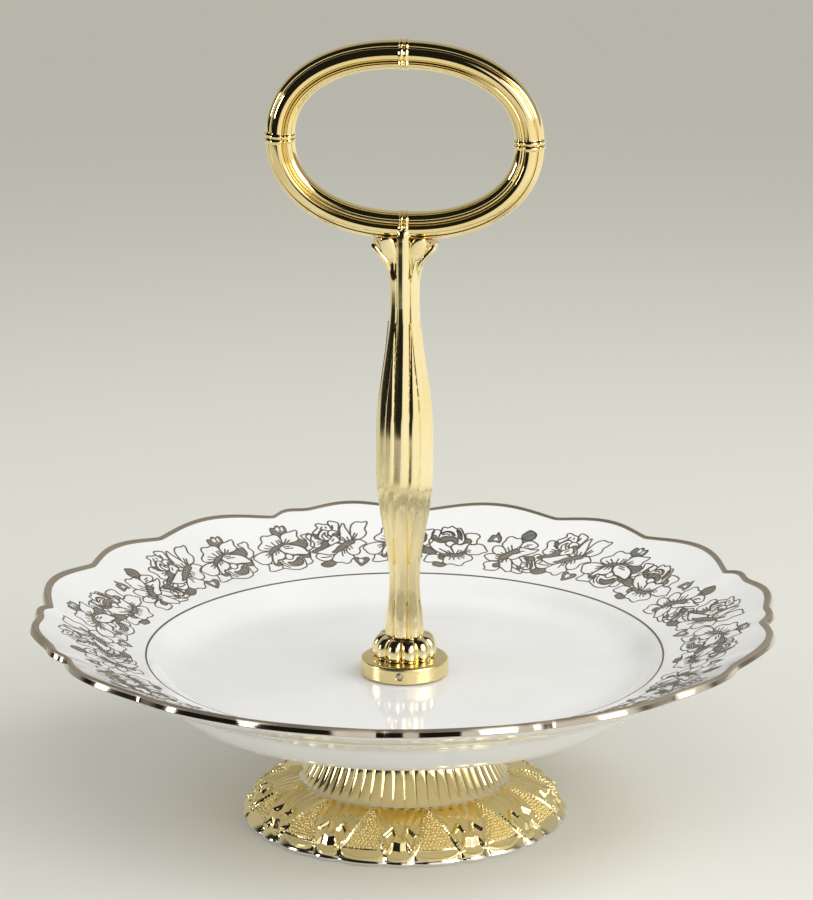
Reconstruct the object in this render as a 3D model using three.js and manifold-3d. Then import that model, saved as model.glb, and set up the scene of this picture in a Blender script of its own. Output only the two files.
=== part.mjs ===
// Footed cake plate of glazed porcelain with a gold-plated carrying handle.
// Millimetres, +Z up. The origin is the bottom centre of the foot. The handle's
// ring lies in the XZ plane, so the front is at -Y.

import * as THREE from 'three';
import { mergeVertices } from 'three/addons/utils/BufferGeometryUtils.js';
import Module from 'manifold-3d';

// Fits

const seatGap = 0.3;
const threadGap = 0.2;
const rodHoleGap = 0.3;
const cutBeyond = 1;

// Pedestal foot, a hollow casting

const footHeight = 43.7;
const footEdgeRadius = 54.2;
const footEdgeThickness = 1.3;
const footWall = 1.9;
const footCrownThickness = 2.5;
const footCrownRadius = 32.5;
const footCrownEdge = 1.5;
const neckRadius = 28.6;
const neckHeight = 31;
const neckSpreadRadius = 30.1;
const neckSpreadHeight = 20;
const neckFlareRadius = 29.6;
const neckFlareHeight = 36;
const neckBaseRadius = 33;
const neckBaseHeight = 13.8;
const neckBaseRound = 0.9;
const shoulderRadius = 43;
const shoulderHeight = 11;
const shoulderFullness = 1.4;
const skirtRadius = 51.6;
const skirtHeight = 4.2;
const skirtFullness = 1;
const panelPairs = 13;
const panelTurn = 10.4;
const stippledShare = 0.625;
const stippledTaper = 0.3;
const stippledRise = 0.6;
const footScallopDepth = 1.3;
const footLobeFullness = 0.6;
const ribsPerPair = 4;
const neckRibDepth = 0.7;

// Plate

const plateLobeRadius = 125.5;
const plateEdgeHeight = 72.2;
const plateEdgeThickness = 2.6;
const rimThickness = 3.6;
const rimHollow = 1;
const wellLineRadius = 86.1;
const wellLineHeight = 56.8;
const floorRadius = 68;
const floorThickness = 4.5;
const floorCurveRadius = 78.5;
const floorCurveRise = 2;
const heelRadius = 80;
const footRingRadius = 77;
const footRingWidth = 3.2;
const footRingDepth = 3.5;
const plateHoleRadius = 4.5;
const crestTurn = 16.5;

// Scallops of the plate's edge over a quarter turn from one crest to the next:
// where each lobe ends, in degrees, how far its end lies inside the lobe radius,
// and how far its top does
const crestLobe = { end: 6.7, dip: 2.3, top: 0 };
const crestSideLobe = { end: 13.3, dip: 4.7, top: 1.9 };
const cornerLobe = { end: 36, dip: 4.2, top: 0 };
const middleLobe = { end: 54, dip: 4.2, top: 0.8 };
const lobeRoundness = 1.25;

// Gaskets above and below the plate's floor

const lowerGasketThickness = 1;
const lowerGasketRadius = 28;
const upperGasketThickness = 0.5;
const upperGasketRadius = 13;

// Collar at the bottom of the handle

const collarRadius = 14.7;
const collarHeight = 5.6;
const collarRound = 1.2;
const collarWeb = 1.5;
const lockPinRadius = 1;
const lockPinHeight = 2.8;
const lockPinInset = 0.15;

// Stem, from the top of the collar up

const stemLength = 142.8;
const spigotRadius = 6;
const gadroonRadius = 11.1;
const gadroonFootRadius = 9.4;
const gadroonHeight = 7.4;
const gadroonCount = 15;
const gadroonDepth = 0.16;
const gadroonWidestFrom = 0.3;
const gadroonFullness = 0.6;
const stemBaseRadius = 6.6;
const lowerNeckRadius = 5.2;
const lowerNeckFrom = 20;
const lowerNeckTo = 27;
const swellRadius = 9.6;
const swellFrom = 63;
const swellTo = 77;
const upperNeckRadius = 4.8;
const upperNeckDrop = 20;
const capitalHalfWidth = 10.6;
const capitalHalfDepth = 5.2;
const capitalFlare = 3.2;
const ribCount = 6;
const ribHalfWidth = 2.85;
const ribFullness = 0.8;
const ribLean = -10;
const fluteDepth = 0.9;
const capitalDrop = 14;
const strapHalfWidth = 2.4;
const strapFoot = 2.2;
const strapHead = 3.6;
const strapLap = 2.6;
const voluteRadius = 2.7;
const voluteSpread = 5;
const voluteOffset = 2.7;
const voluteDrop = 2.2;

// Ring of the handle

const ringWidth = 91.5;
const ringHeight = 67.4;
const ringBarWidth = 9.6;
const ringBarDepth = 8.8;
const ringSquareness = 2.2;
const grooveTurn = 60;
const grooveReach = 15;
const grooveDepth = 0.55;
const bandWidth = 2.2;
const bandRise = 0.25;
const bandSlope = 0.5;

// Rod, dowel and fasteners

const rodRadius = 3;
const rodBelowNut = 2.4;
const threadEngagement = 12;
const threadRunOut = 3.5;
const dowelRadius = 2;
const dowelInStem = 12;
const dowelInRing = 5.5;
const flatWasherRadius = 9;
const flatWasherThickness = 1.2;
const springWasherRadius = 5.3;
const springWasherThickness = 1.6;
const springWasherSplit = 12;
const nutAcrossFlats = 10;
const nutHeight = 5;

// Facets round each turned piece

const plateFacets = 144;
const footFacets = panelPairs * ribsPerPair * 2;
const footHollowFacets = 52;
const stemFacets = 60;
const smallFacets = 32;
const pinFacets = 16;
const strapFacets = 12;
const ringSectionFacets = 12;
const ringFacetsBetweenBands = 11;
const gadroonSteps = 4;
const capitalSteps = 5;

// Heights worked out from the stack along the rod

const lowerGasketBottom = footHeight;
const floorBottom = lowerGasketBottom + lowerGasketThickness;
const floorTop = floorBottom + floorThickness;
const collarBottom = floorTop + upperGasketThickness;
const collarTop = collarBottom + collarHeight;
const spigotBottom = collarBottom + collarWeb + seatGap;
const ringBottom = collarTop + stemLength;
const ringCentre = ringBottom + ringHeight / 2;
const crownBottom = footHeight - footCrownThickness;
const flatWasherBottom = crownBottom - flatWasherThickness;
const springWasherBottom = flatWasherBottom - springWasherThickness;
const nutBottom = springWasherBottom - nutHeight;
const rodBottom = nutBottom - rodBelowNut;
const rodTop = spigotBottom + threadEngagement;
const tappedHoleTop = rodTop + threadRunOut;

const quarterTurn = Math.PI / 2;
const fullTurn = 2 * Math.PI;
const radians = THREE.MathUtils.degToRad;
const lerp = THREE.MathUtils.lerp;

const wasm = await Module();
wasm.setup();

// Solids and meshes

function mergedGeometry(geometry) {
  geometry.deleteAttribute('normal');
  geometry.deleteAttribute('uv');
  return mergeVertices(geometry);
}

function toSolid(geometry) {
  const merged = mergedGeometry(geometry);
  const mesh = new wasm.Mesh({
    numProp: 3,
    vertProperties: new Float32Array(merged.attributes.position.array),
    triVerts: new Uint32Array(merged.index.array),
  });
  return new wasm.Manifold(mesh);
}

function toGeometry(solid) {
  const mesh = solid.getMesh();
  const geometry = new THREE.BufferGeometry();
  geometry.setAttribute('position', new THREE.BufferAttribute(mesh.vertProperties, 3));
  geometry.setIndex(new THREE.BufferAttribute(mesh.triVerts, 1));
  return geometry;
}

// Turns an outline of [radius, height] points round Z. reshape, where it is
// given, moves a point as the outline goes round, by its place and its angle
// from the front.
function turned(outline, facets, reshape = null) {
  const points = outline.map(([radius, height]) => new THREE.Vector2(radius, height));
  const geometry = new THREE.LatheGeometry(points, facets);
  geometry.rotateX(quarterTurn);
  if (reshape === null) return geometry;
  const position = geometry.attributes.position;
  for (let vertex = 0; vertex < position.count; vertex++) {
    const facet = Math.floor(vertex / points.length) % facets;
    const { x: radius, y: height } = points[vertex % points.length];
    const angle = (facet / facets) * fullTurn;
    const moved = reshape(radius, height, angle);
    const y = moved.y ?? -moved.radius * Math.cos(angle);
    position.setXYZ(vertex, moved.radius * Math.sin(angle), y, moved.height);
  }
  return geometry;
}

function closedOutline(outline) {
  return [...outline, outline[0]];
}

// A flat ring, given by its radii and its lower and upper heights
function flatRing(inner, outer, bottom, top, facets) {
  return turned(closedOutline([[inner, bottom], [outer, bottom], [outer, top], [inner, top]]), facets);
}

function rod(radius, bottom, top, facets = smallFacets) {
  return turned([[0, bottom], [radius, bottom], [radius, top], [0, top]], facets);
}

// Smooth step between two values as a height passes from one mark to another
function eased(height, from, to, low, high) {
  const share = THREE.MathUtils.clamp((height - from) / (to - from), 0, 1);
  return lerp(low, high, (1 - Math.cos(share * Math.PI)) / 2);
}

// Rounded lobes with a sharp crease between them, 1 on a lobe's top
function lobes(count, angle) {
  return Math.abs(Math.cos((count * angle) / 2));
}

// Plate

function platePattern() {
  const half = [crestLobe, crestSideLobe, cornerLobe];
  const mirrored = half.toReversed().map((lobe, index) => ({
    top: lobe.top,
    end: 90 - (half[half.length - 2 - index]?.end ?? 0),
    dip: half[half.length - 2 - index]?.dip ?? 0,
  }));
  return [...half, middleLobe, ...mirrored];
}

const platePatternLobes = platePattern();

// Radius of the plate's edge at an angle from the front
function plateEdgeRadius(angle) {
  const turn = THREE.MathUtils.euclideanModulo(THREE.MathUtils.radToDeg(angle) - 90 - crestTurn, 90);
  let from = -crestLobe.end;
  let fromDip = crestLobe.dip;
  for (const lobe of platePatternLobes) {
    const last = lobe === platePatternLobes.at(-1);
    const end = last ? 90 + crestLobe.end : lobe.end;
    const dip = last ? crestLobe.dip : lobe.dip;
    if (turn <= end) {
      const share = (turn - from) / (end - from);
      const base = lerp(fromDip, dip, share);
      const rise = Math.sin(Math.PI * share) ** lobeRoundness;
      return plateLobeRadius - lerp(base, lobe.top, rise);
    }
    from = end;
    fromDip = dip;
  }
  return plateLobeRadius;
}

function rimSlope() {
  return (plateEdgeHeight - wellLineHeight) / (plateLobeRadius - wellLineRadius);
}

function plateOutline() {
  const rimMiddle = (wellLineRadius + plateLobeRadius) / 2;
  const rimMiddleHeight = (wellLineHeight + plateEdgeHeight) / 2 - rimHollow;
  const edgeRound = plateEdgeThickness / 3;
  return closedOutline([
    [plateHoleRadius, floorBottom],
    [footRingRadius - footRingWidth - footRingDepth / 2, floorBottom],
    [footRingRadius - footRingWidth, floorBottom - footRingDepth],
    [footRingRadius, floorBottom - footRingDepth],
    [heelRadius, floorBottom - footRingDepth / 2],
    [wellLineRadius + rimThickness, wellLineHeight - rimThickness],
    [rimMiddle, rimMiddleHeight - rimThickness],
    [plateLobeRadius - edgeRound, plateEdgeHeight - plateEdgeThickness],
    [plateLobeRadius, plateEdgeHeight - plateEdgeThickness + edgeRound],
    [plateLobeRadius, plateEdgeHeight - edgeRound],
    [plateLobeRadius - edgeRound, plateEdgeHeight],
    [rimMiddle, rimMiddleHeight],
    [wellLineRadius, wellLineHeight],
    [floorCurveRadius, floorTop + floorCurveRise],
    [floorRadius, floorTop],
    [plateHoleRadius, floorTop],
  ]);
}

// The edge's scallops draw the rim in along its own slope
function scallopedRim(radius, height, angle) {
  if (radius <= wellLineRadius + rimThickness) return { radius, height };
  const share = (radius - wellLineRadius) / (plateLobeRadius - wellLineRadius);
  const drawnIn = share * (plateLobeRadius - plateEdgeRadius(angle));
  return { radius: radius - drawnIn, height: height - drawnIn * rimSlope() };
}

function plate() {
  return turned(plateOutline(), plateFacets, scallopedRim);
}

// Foot

function footOutline() {
  return [
    [0, 0],
    [footEdgeRadius, 0],
    [footEdgeRadius, footEdgeThickness],
    [skirtRadius, skirtHeight],
    [(skirtRadius + shoulderRadius) / 2, (skirtHeight + shoulderHeight) / 2 + skirtFullness],
    [shoulderRadius, shoulderHeight],
    [(shoulderRadius + neckBaseRadius) / 2, shoulderHeight + shoulderFullness],
    [neckBaseRadius, neckBaseHeight - neckBaseRound],
    [neckBaseRadius - neckBaseRound, neckBaseHeight],
    [neckSpreadRadius, neckSpreadHeight],
    [neckRadius, neckHeight],
    [neckFlareRadius, neckFlareHeight],
    [footCrownRadius - footCrownEdge, footHeight - 2 * footCrownEdge],
    [footCrownRadius, footHeight - footCrownEdge],
    [footCrownRadius, footHeight],
    [0, footHeight],
  ];
}

function footHollowOutline() {
  return [
    [0, -cutBeyond],
    [footEdgeRadius - footWall, -cutBeyond],
    [skirtRadius - footWall, skirtHeight - footWall],
    [shoulderRadius - footWall, shoulderHeight - footWall],
    [neckBaseRadius - footWall, neckBaseHeight - footWall],
    [neckRadius - footWall, neckSpreadHeight],
    [neckRadius - footWall, crownBottom],
    [0, crownBottom],
  ];
}

// Place within a pair of panels at an angle from the front, 0 to 1, with the
// stippled panel's lobe first
function pairShare(angle) {
  return THREE.MathUtils.euclideanModulo(((angle - radians(panelTurn)) / fullTurn) * panelPairs, 1);
}

// Scalloped lower edge, one wide and one narrow lobe to a pair of panels
function footScallop(angle) {
  const share = pairShare(angle);
  const stippled = share < stippledShare;
  const across = stippled ? share / stippledShare : (share - stippledShare) / (1 - stippledShare);
  return footScallopDepth * (Math.sin(Math.PI * across) ** footLobeFullness - 1);
}

// Raised stippled panels, which narrow towards the neck
function stippledPanel(height, angle) {
  const halfWidth = (stippledShare / 2) * eased(height, skirtHeight, neckBaseHeight, 1, stippledTaper);
  const aside = Math.abs(pairShare(angle) - stippledShare / 2) / halfWidth;
  return stippledRise * Math.sqrt(Math.max(0, 1 - aside * aside));
}

function footRelief(radius, height, angle) {
  if (radius === 0 || height >= footHeight - footCrownEdge) return { radius, height };
  if (radius >= skirtRadius) return { radius: radius + footScallop(angle), height };
  if (height < neckBaseHeight) return { radius: radius + stippledPanel(height, angle), height };
  const valley = 1 - lobes(panelPairs * ribsPerPair, angle);
  return { radius: radius - neckRibDepth * valley, height };
}

function foot() {
  const outside = toSolid(turned(footOutline(), footFacets, footRelief));
  const hollow = toSolid(turned(footHollowOutline(), footHollowFacets));
  const rodHole = toSolid(rod(rodRadius + rodHoleGap, crownBottom - cutBeyond, footHeight + cutBeyond));
  return toGeometry(outside.subtract(hollow).subtract(rodHole));
}

// Ring

// Angles round the ring's oval at which its section is set, with a close group
// at each of the four cross bands
function ringStations() {
  const stations = [];
  for (let quarter = 0; quarter < 4; quarter++) {
    const sideways = quarter % 2 === 0;
    const reach = (sideways ? ringHeight : ringWidth) / 2 - ringBarWidth / 2;
    const bandHalf = bandWidth / 2 / reach;
    const bandFoot = (bandWidth / 2 + bandSlope) / reach;
    const nextReach = (sideways ? ringWidth : ringHeight) / 2 - ringBarWidth / 2;
    const nextFoot = (bandWidth / 2 + bandSlope) / nextReach;
    const start = quarter * quarterTurn;
    stations.push({ angle: start - bandFoot, rise: 0 });
    stations.push({ angle: start - bandHalf, rise: bandRise });
    stations.push({ angle: start + bandHalf, rise: bandRise });
    stations.push({ angle: start + bandFoot, rise: 0 });
    for (let step = 1; step < ringFacetsBetweenBands; step++) {
      const share = step / ringFacetsBetweenBands;
      stations.push({ angle: lerp(start + bandFoot, start + quarterTurn - nextFoot, share), rise: 0 });
    }
  }
  return stations;
}

// Point of the oval centre line at an angle from +X
function ovalPoint(angle) {
  const halfWidth = (ringWidth - ringBarWidth) / 2;
  const halfHeight = (ringHeight - ringBarWidth) / 2;
  const power = 2 / ringSquareness;
  const x = Math.sign(Math.cos(angle)) * Math.abs(Math.cos(angle)) ** power * halfWidth;
  const z = Math.sign(Math.sin(angle)) * Math.abs(Math.sin(angle)) ** power * halfHeight;
  return new THREE.Vector2(x, z);
}

// Depth of the grooves that part the bar's outer, inner and side reeds, at a
// turn round its section from the outer edge
function grooved(turn) {
  const fromEdge = THREE.MathUtils.radToDeg(Math.acos(Math.abs(Math.cos(turn))));
  return grooveDepth * Math.max(0, 1 - Math.abs(fromEdge - grooveTurn) / grooveReach);
}

// The ring's solid, grown all over by an allowance where it cuts a seat
function ringSolid(allowance) {
  const stations = ringStations();
  const geometry = new THREE.TorusGeometry(1, 0.5, ringSectionFacets, stations.length);
  const position = geometry.attributes.position;
  const small = 1e-3;
  for (let vertex = 0; vertex < position.count; vertex++) {
    const across = Math.floor(vertex / (stations.length + 1));
    const { angle, rise } = stations[vertex % (stations.length + 1) % stations.length];
    const turn = (across / ringSectionFacets) * fullTurn;
    const centre = ovalPoint(angle);
    const along = ovalPoint(angle + small).sub(ovalPoint(angle - small)).normalize();
    const outward = new THREE.Vector2(along.y, -along.x);
    const grown = rise + allowance - grooved(turn);
    const half = ringBarWidth / 2 + grown;
    const depth = ringBarDepth / 2 + grown;
    position.setXYZ(
      vertex,
      centre.x + outward.x * half * Math.cos(turn),
      -depth * Math.sin(turn),
      ringCentre + centre.y + outward.y * half * Math.cos(turn),
    );
  }
  return toSolid(geometry);
}

// Tapped hole for the dowel that joins the ring to the stem
function dowelHole(bottom, top) {
  return toSolid(rod(dowelRadius + threadGap, bottom, top));
}

function handleRing() {
  const hole = dowelHole(ringBottom - cutBeyond, ringBottom + dowelInRing + seatGap);
  return toGeometry(ringSolid(0).subtract(hole));
}

// Stem

// Half the stem's width at a height above the collar
function stemHalfWidth(height) {
  const neckTop = stemLength - upperNeckDrop;
  if (height <= lowerNeckTo) {
    return eased(height, gadroonHeight, lowerNeckFrom, stemBaseRadius, lowerNeckRadius);
  }
  if (height <= swellTo) {
    return eased(height, lowerNeckTo, swellFrom, lowerNeckRadius, swellRadius);
  }
  if (height <= neckTop) {
    return eased(height, swellTo, neckTop, swellRadius, upperNeckRadius);
  }
  const share = (height - neckTop) / upperNeckDrop;
  return lerp(upperNeckRadius, capitalHalfWidth, share ** capitalFlare);
}

function stemOutline() {
  const outline = [
    [0, spigotBottom],
    [spigotRadius, spigotBottom],
    [spigotRadius, collarTop],
  ];
  for (let step = 0; step < gadroonSteps; step++) {
    const share = step / gadroonSteps;
    const swell = Math.sin(lerp(gadroonWidestFrom, 1, share) * Math.PI) ** gadroonFullness;
    const radius = lerp(stemBaseRadius, gadroonRadius, swell);
    outline.push([step === 0 ? gadroonFootRadius : radius, collarTop + share * gadroonHeight]);
  }
  const marks = [gadroonHeight, lowerNeckFrom, lowerNeckTo, swellFrom, swellTo, stemLength - upperNeckDrop];
  const steps = [1, 1, 4, 1, 5];
  steps.forEach((count, span) => {
    for (let step = 0; step < count; step++) {
      const height = lerp(marks[span], marks[span + 1], step / count);
      outline.push([stemHalfWidth(height), collarTop + height]);
    }
  });
  for (let step = 0; step <= capitalSteps; step++) {
    const height = stemLength - upperNeckDrop * (1 - step / capitalSteps);
    outline.push([stemHalfWidth(height), collarTop + height]);
  }
  outline.push([0, ringBottom]);
  return outline;
}

// Depth of the stem's flutes below its round. Ribs of one width run its whole
// length and touch at the necks; at the swell, pointed petals fill the gaps.
function fluted(radius, above, angle) {
  const lean = radians(eased(above, lowerNeckTo, swellTo, ribLean, 0));
  const pitch = fullTurn / ribCount;
  const aside = Math.abs(THREE.MathUtils.euclideanModulo(angle - lean + pitch / 2, pitch) - pitch / 2);
  const ribHalf = Math.min(pitch / 2, ribHalfWidth / radius);
  const onRib = aside <= ribHalf;
  const across = onRib ? aside / ribHalf : (pitch / 2 - aside) / (pitch / 2 - ribHalf);
  return fluteDepth * (1 - Math.sqrt(1 - ribFullness * across * across));
}

function stemRelief(radius, height, angle) {
  if (radius === 0 || (height <= collarTop && radius <= spigotRadius)) return { radius, height };
  const above = height - collarTop;
  if (above < gadroonHeight) {
    return { radius: radius * (1 - gadroonDepth * (1 - lobes(gadroonCount, angle))), height };
  }
  const cut = radius - fluted(radius, above, angle);
  const flat = Math.min(1, capitalHalfDepth / radius);
  const squash = above > stemLength - capitalDrop ? flat : 1;
  return { radius: cut, height, y: -cut * squash * Math.cos(angle) };
}

// Straps lean outwards up the front and back of the capital and lap the ring
function capitalStrap(side) {
  const length = upperNeckDrop + strapLap;
  const strap = rod(strapHalfWidth, 0, length, strapFacets);
  strap.rotateX(-side * Math.asin((strapHead - strapFoot) / length));
  strap.translate(0, side * strapFoot, ringBottom - upperNeckDrop);
  return toSolid(strap);
}

function volute(sideX, sideY) {
  const ball = new THREE.SphereGeometry(voluteRadius, 12, 8);
  ball.translate(sideX * voluteSpread, sideY * voluteOffset, ringBottom - voluteDrop);
  return toSolid(ball);
}

function stem() {
  let body = toSolid(turned(stemOutline(), stemFacets, stemRelief));
  for (const side of [-1, 1]) {
    body = body.add(capitalStrap(side));
    body = body.add(volute(-1, side)).add(volute(1, side));
  }
  const tappedHole = rod(rodRadius + threadGap, spigotBottom - cutBeyond, tappedHoleTop);
  body = body.subtract(ringSolid(seatGap)).subtract(toSolid(tappedHole));
  return toGeometry(body.subtract(dowelHole(ringBottom - dowelInStem - seatGap, ringCentre)));
}

// Collar

function lockPinAxis(radius, from, to) {
  const pin = rod(radius, from, to, pinFacets);
  pin.rotateX(quarterTurn);
  pin.translate(0, 0, collarBottom + lockPinHeight);
  return pin;
}

function collar() {
  const rodHole = rodRadius + rodHoleGap;
  const bore = spigotRadius + seatGap;
  const roundMiddle = collarRound * (1 - Math.SQRT1_2);
  const outline = closedOutline([
    [rodHole, collarBottom],
    [collarRadius, collarBottom],
    [collarRadius, collarTop - collarRound],
    [collarRadius - roundMiddle, collarTop - roundMiddle],
    [collarRadius - collarRound, collarTop],
    [bore, collarTop],
    [bore, collarBottom + collarWeb],
    [rodHole, collarBottom + collarWeb],
  ]);
  const pinHole = lockPinAxis(lockPinRadius + threadGap, spigotRadius, collarRadius + cutBeyond);
  return toGeometry(toSolid(turned(outline, smallFacets)).subtract(toSolid(pinHole)));
}

function lockPin() {
  return lockPinAxis(lockPinRadius, spigotRadius + seatGap, collarRadius - lockPinInset);
}

// Fasteners

function springWasher() {
  const shape = new THREE.Shape();
  const split = radians(springWasherSplit);
  const inner = rodRadius + rodHoleGap;
  shape.absarc(0, 0, springWasherRadius, split, fullTurn - split, false);
  shape.absarc(0, 0, inner, fullTurn - split, split, true);
  shape.closePath();
  const settings = { depth: springWasherThickness, bevelEnabled: false, curveSegments: smallFacets / 2 };
  return new THREE.ExtrudeGeometry(shape, settings).translate(0, 0, springWasherBottom);
}

function hexNut() {
  const shape = new THREE.Shape();
  const corner = nutAcrossFlats / Math.sqrt(3);
  for (let side = 0; side < 6; side++) {
    const angle = (side / 6) * fullTurn;
    const step = side === 0 ? 'moveTo' : 'lineTo';
    shape[step](corner * Math.cos(angle), corner * Math.sin(angle));
  }
  shape.closePath();
  const hole = new THREE.Path();
  hole.absarc(0, 0, rodRadius + threadGap, 0, fullTurn, false);
  shape.holes.push(hole);
  const settings = { depth: nutHeight, bevelEnabled: false, curveSegments: pinFacets };
  return new THREE.ExtrudeGeometry(shape, settings).translate(0, 0, nutBottom);
}

// Materials

function finish(color, roughness, metalness) {
  return () => new THREE.MeshStandardMaterial({ color, roughness, metalness, flatShading: true });
}

const goldPlate = finish(0xd9b45c, 0.18, 1);
const porcelain = finish(0xf3f3f4, 0.08, 0);
const zincPlate = finish(0xb9bbbf, 0.35, 1);
const gasketPlastic = finish(0xd9d8d2, 0.5, 0);

// Assembly

const rodHoleRadius = rodRadius + rodHoleGap;
const cakePlate = new THREE.Group();
const handle = new THREE.Group();
const base = new THREE.Group();
cakePlate.add(base, handle);

function addPiece(group, name, geometry, material) {
  const mesh = new THREE.Mesh(mergedGeometry(geometry), material());
  mesh.name = name;
  group.add(mesh);
}

addPiece(base, 'foot', foot(), goldPlate);
addPiece(
  base,
  'lower_gasket',
  flatRing(rodHoleRadius, lowerGasketRadius, lowerGasketBottom, floorBottom, smallFacets),
  gasketPlastic,
);
addPiece(base, 'plate', plate(), porcelain);
addPiece(base, 'centre_rod', rod(rodRadius, rodBottom, rodTop), zincPlate);
addPiece(
  base,
  'flat_washer',
  flatRing(rodHoleRadius, flatWasherRadius, flatWasherBottom, crownBottom, smallFacets),
  zincPlate,
);
addPiece(base, 'spring_washer', springWasher(), zincPlate);
addPiece(base, 'hex_nut', hexNut(), zincPlate);
addPiece(
  handle,
  'upper_gasket',
  flatRing(rodHoleRadius, upperGasketRadius, floorTop, collarBottom, smallFacets),
  gasketPlastic,
);
addPiece(handle, 'collar', collar(), goldPlate);
addPiece(handle, 'lock_pin', lockPin(), zincPlate);
addPiece(handle, 'stem', stem(), goldPlate);
addPiece(
  handle,
  'ring_dowel',
  rod(dowelRadius, ringBottom - dowelInStem, ringBottom + dowelInRing),
  zincPlate,
);
addPiece(handle, 'handle_ring', handleRing(), goldPlate);

export default cakePlate;
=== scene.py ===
# Footed cake plate with a carrying handle: a scalloped porcelain plate with a
# platinum band and a printed rose garland, on a gold-plated pedestal foot.
# Shapes are worked out in millimetres and become metres as each mesh is made.
# Turns are counted in radians from the front, -Y, counter-clockwise from above.
import math
import random

import bmesh
import bpy
import numpy as np
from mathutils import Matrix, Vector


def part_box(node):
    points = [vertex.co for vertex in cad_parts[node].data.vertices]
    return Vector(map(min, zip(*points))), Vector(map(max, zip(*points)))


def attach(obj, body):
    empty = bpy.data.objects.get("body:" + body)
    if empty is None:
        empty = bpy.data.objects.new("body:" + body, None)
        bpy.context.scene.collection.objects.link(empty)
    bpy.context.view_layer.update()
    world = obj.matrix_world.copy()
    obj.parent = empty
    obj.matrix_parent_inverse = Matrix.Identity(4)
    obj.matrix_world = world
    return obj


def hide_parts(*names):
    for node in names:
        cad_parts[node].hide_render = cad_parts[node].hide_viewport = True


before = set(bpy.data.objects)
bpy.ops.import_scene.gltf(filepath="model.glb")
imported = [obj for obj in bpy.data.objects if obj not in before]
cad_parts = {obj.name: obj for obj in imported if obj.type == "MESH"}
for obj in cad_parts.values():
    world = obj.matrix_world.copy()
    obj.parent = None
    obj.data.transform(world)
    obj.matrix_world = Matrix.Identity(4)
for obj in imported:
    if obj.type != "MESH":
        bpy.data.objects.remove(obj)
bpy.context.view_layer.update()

METRES = 0.001
FULL_TURN = 2 * math.pi


def node_box(node):
    """Lowest and highest corners of a node, in millimetres."""
    low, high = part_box(node)
    return np.array(low) / METRES, np.array(high) / METRES


# Sizes that come from the frame

RING_LOW, RING_HIGH = node_box("handle_ring")
COLLAR_LOW, COLLAR_HIGH = node_box("collar")
NUT_LOW, NUT_HIGH = node_box("hex_nut")
ROD_LOW, ROD_HIGH = node_box("centre_rod")
WASHER_LOW, WASHER_HIGH = node_box("flat_washer")
PIN_LOW, PIN_HIGH = node_box("lock_pin")
EDGE_TOP = node_box("plate")[1][2]
CROWN_TOP = node_box("foot")[1][2]
CROWN_BOTTOM = WASHER_HIGH[2]
FLOOR_BOTTOM = node_box("lower_gasket")[1][2]
FLOOR_TOP = node_box("upper_gasket")[0][2]

# Plate

LOBE_RADIUS = 125.38
EDGE_THICKNESS = 2.6
EDGE_CREST_RADIUS = 124.5
EDGE_INNER_RADIUS = EDGE_CREST_RADIUS - 1.2
RIM_HOLLOW = 1.0
WELL_RADIUS = 86.1
WELL_HEIGHT = 56.8
RIM_SLOPE = (EDGE_TOP - WELL_HEIGHT) / (LOBE_RADIUS - WELL_RADIUS)
PLATE_HOLE_RADIUS = 4.5
CREST_TURN = math.radians(16.5)
PLATE_COLUMNS = 720
RIM_ROWS = 26
PLATE_FOOT_RING = [
    [PLATE_HOLE_RADIUS, 0], [30, 0], [66, 0], [71, -0.2], [72.8, -1.6],
    [74, -3.1], [75.4, -3.5], [76.9, -3], [79.6, -1.3],
]
PLATE_UNDERSIDE = [[84.8, 47.9], [89.7, 52.6], [97, 56.4], [105.8, 59.95], [116, 64.6], [123.2, 68.75]]
WELL_CURVE = [
    [WELL_RADIUS, WELL_HEIGHT - 0.15], [84.2, 55.35], [81.5, 53.1], [78.5, 51.2], [74.5, 49.9],
    [68, FLOOR_TOP + 0.05], [58, FLOOR_TOP], [PLATE_HOLE_RADIUS * 2, FLOOR_TOP],
    [PLATE_HOLE_RADIUS, FLOOR_TOP],
]
BAND_WIDTH = 3.2
BAND_THINNEST = 0.3
EDGE_STRIP_START = 5
EDGE_STRIP_END = 21
WELL_LINE_RADIUS = WELL_RADIUS + 0.3
WELL_LINE_WIDTH = 0.6
PRINT_RISE = 0.04
PRINT_DEPTH = 0.12

# Scallops from one crest to the next: end of each lobe in degrees, how far its
# end lies inside the lobe radius, and how far its top does
CREST_LOBE = (6.7, 2.3, 0.0)
CREST_SIDE_LOBE = (13.3, 4.7, 1.9)
CORNER_LOBE = (36.0, 4.2, 0.0)
MIDDLE_LOBE_TOP = 0.8
LOBE_ROUNDNESS = 1.25

# Garland. The clusters at the marked places of the order have these turns.

GARLAND_RADIUS = 103.2
GARLAND_RADIAL_SCALE = 0.87
CLUSTER_ORDER = "BAB" + "DCAB" * 4 + "B" + "DCAB" * 3
CLUSTER_MARKS = (0, 10, 26, 31)
CLUSTER_DEGREES = (211.5, 96, -79.5, -135.75)
DARK_CLUSTERS = (3, 4, 6)
DARK_ABOVE = 4
DRAWING_STEPS = 10
PRINT_LINE = 0.58
PRINT_STEP = 0.65
HATCH_PITCH = 0.72
HATCH_STEP = 2.5
HIDING_STEP = 0.12
SHORTEST_RUN = 3

# Foot

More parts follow.
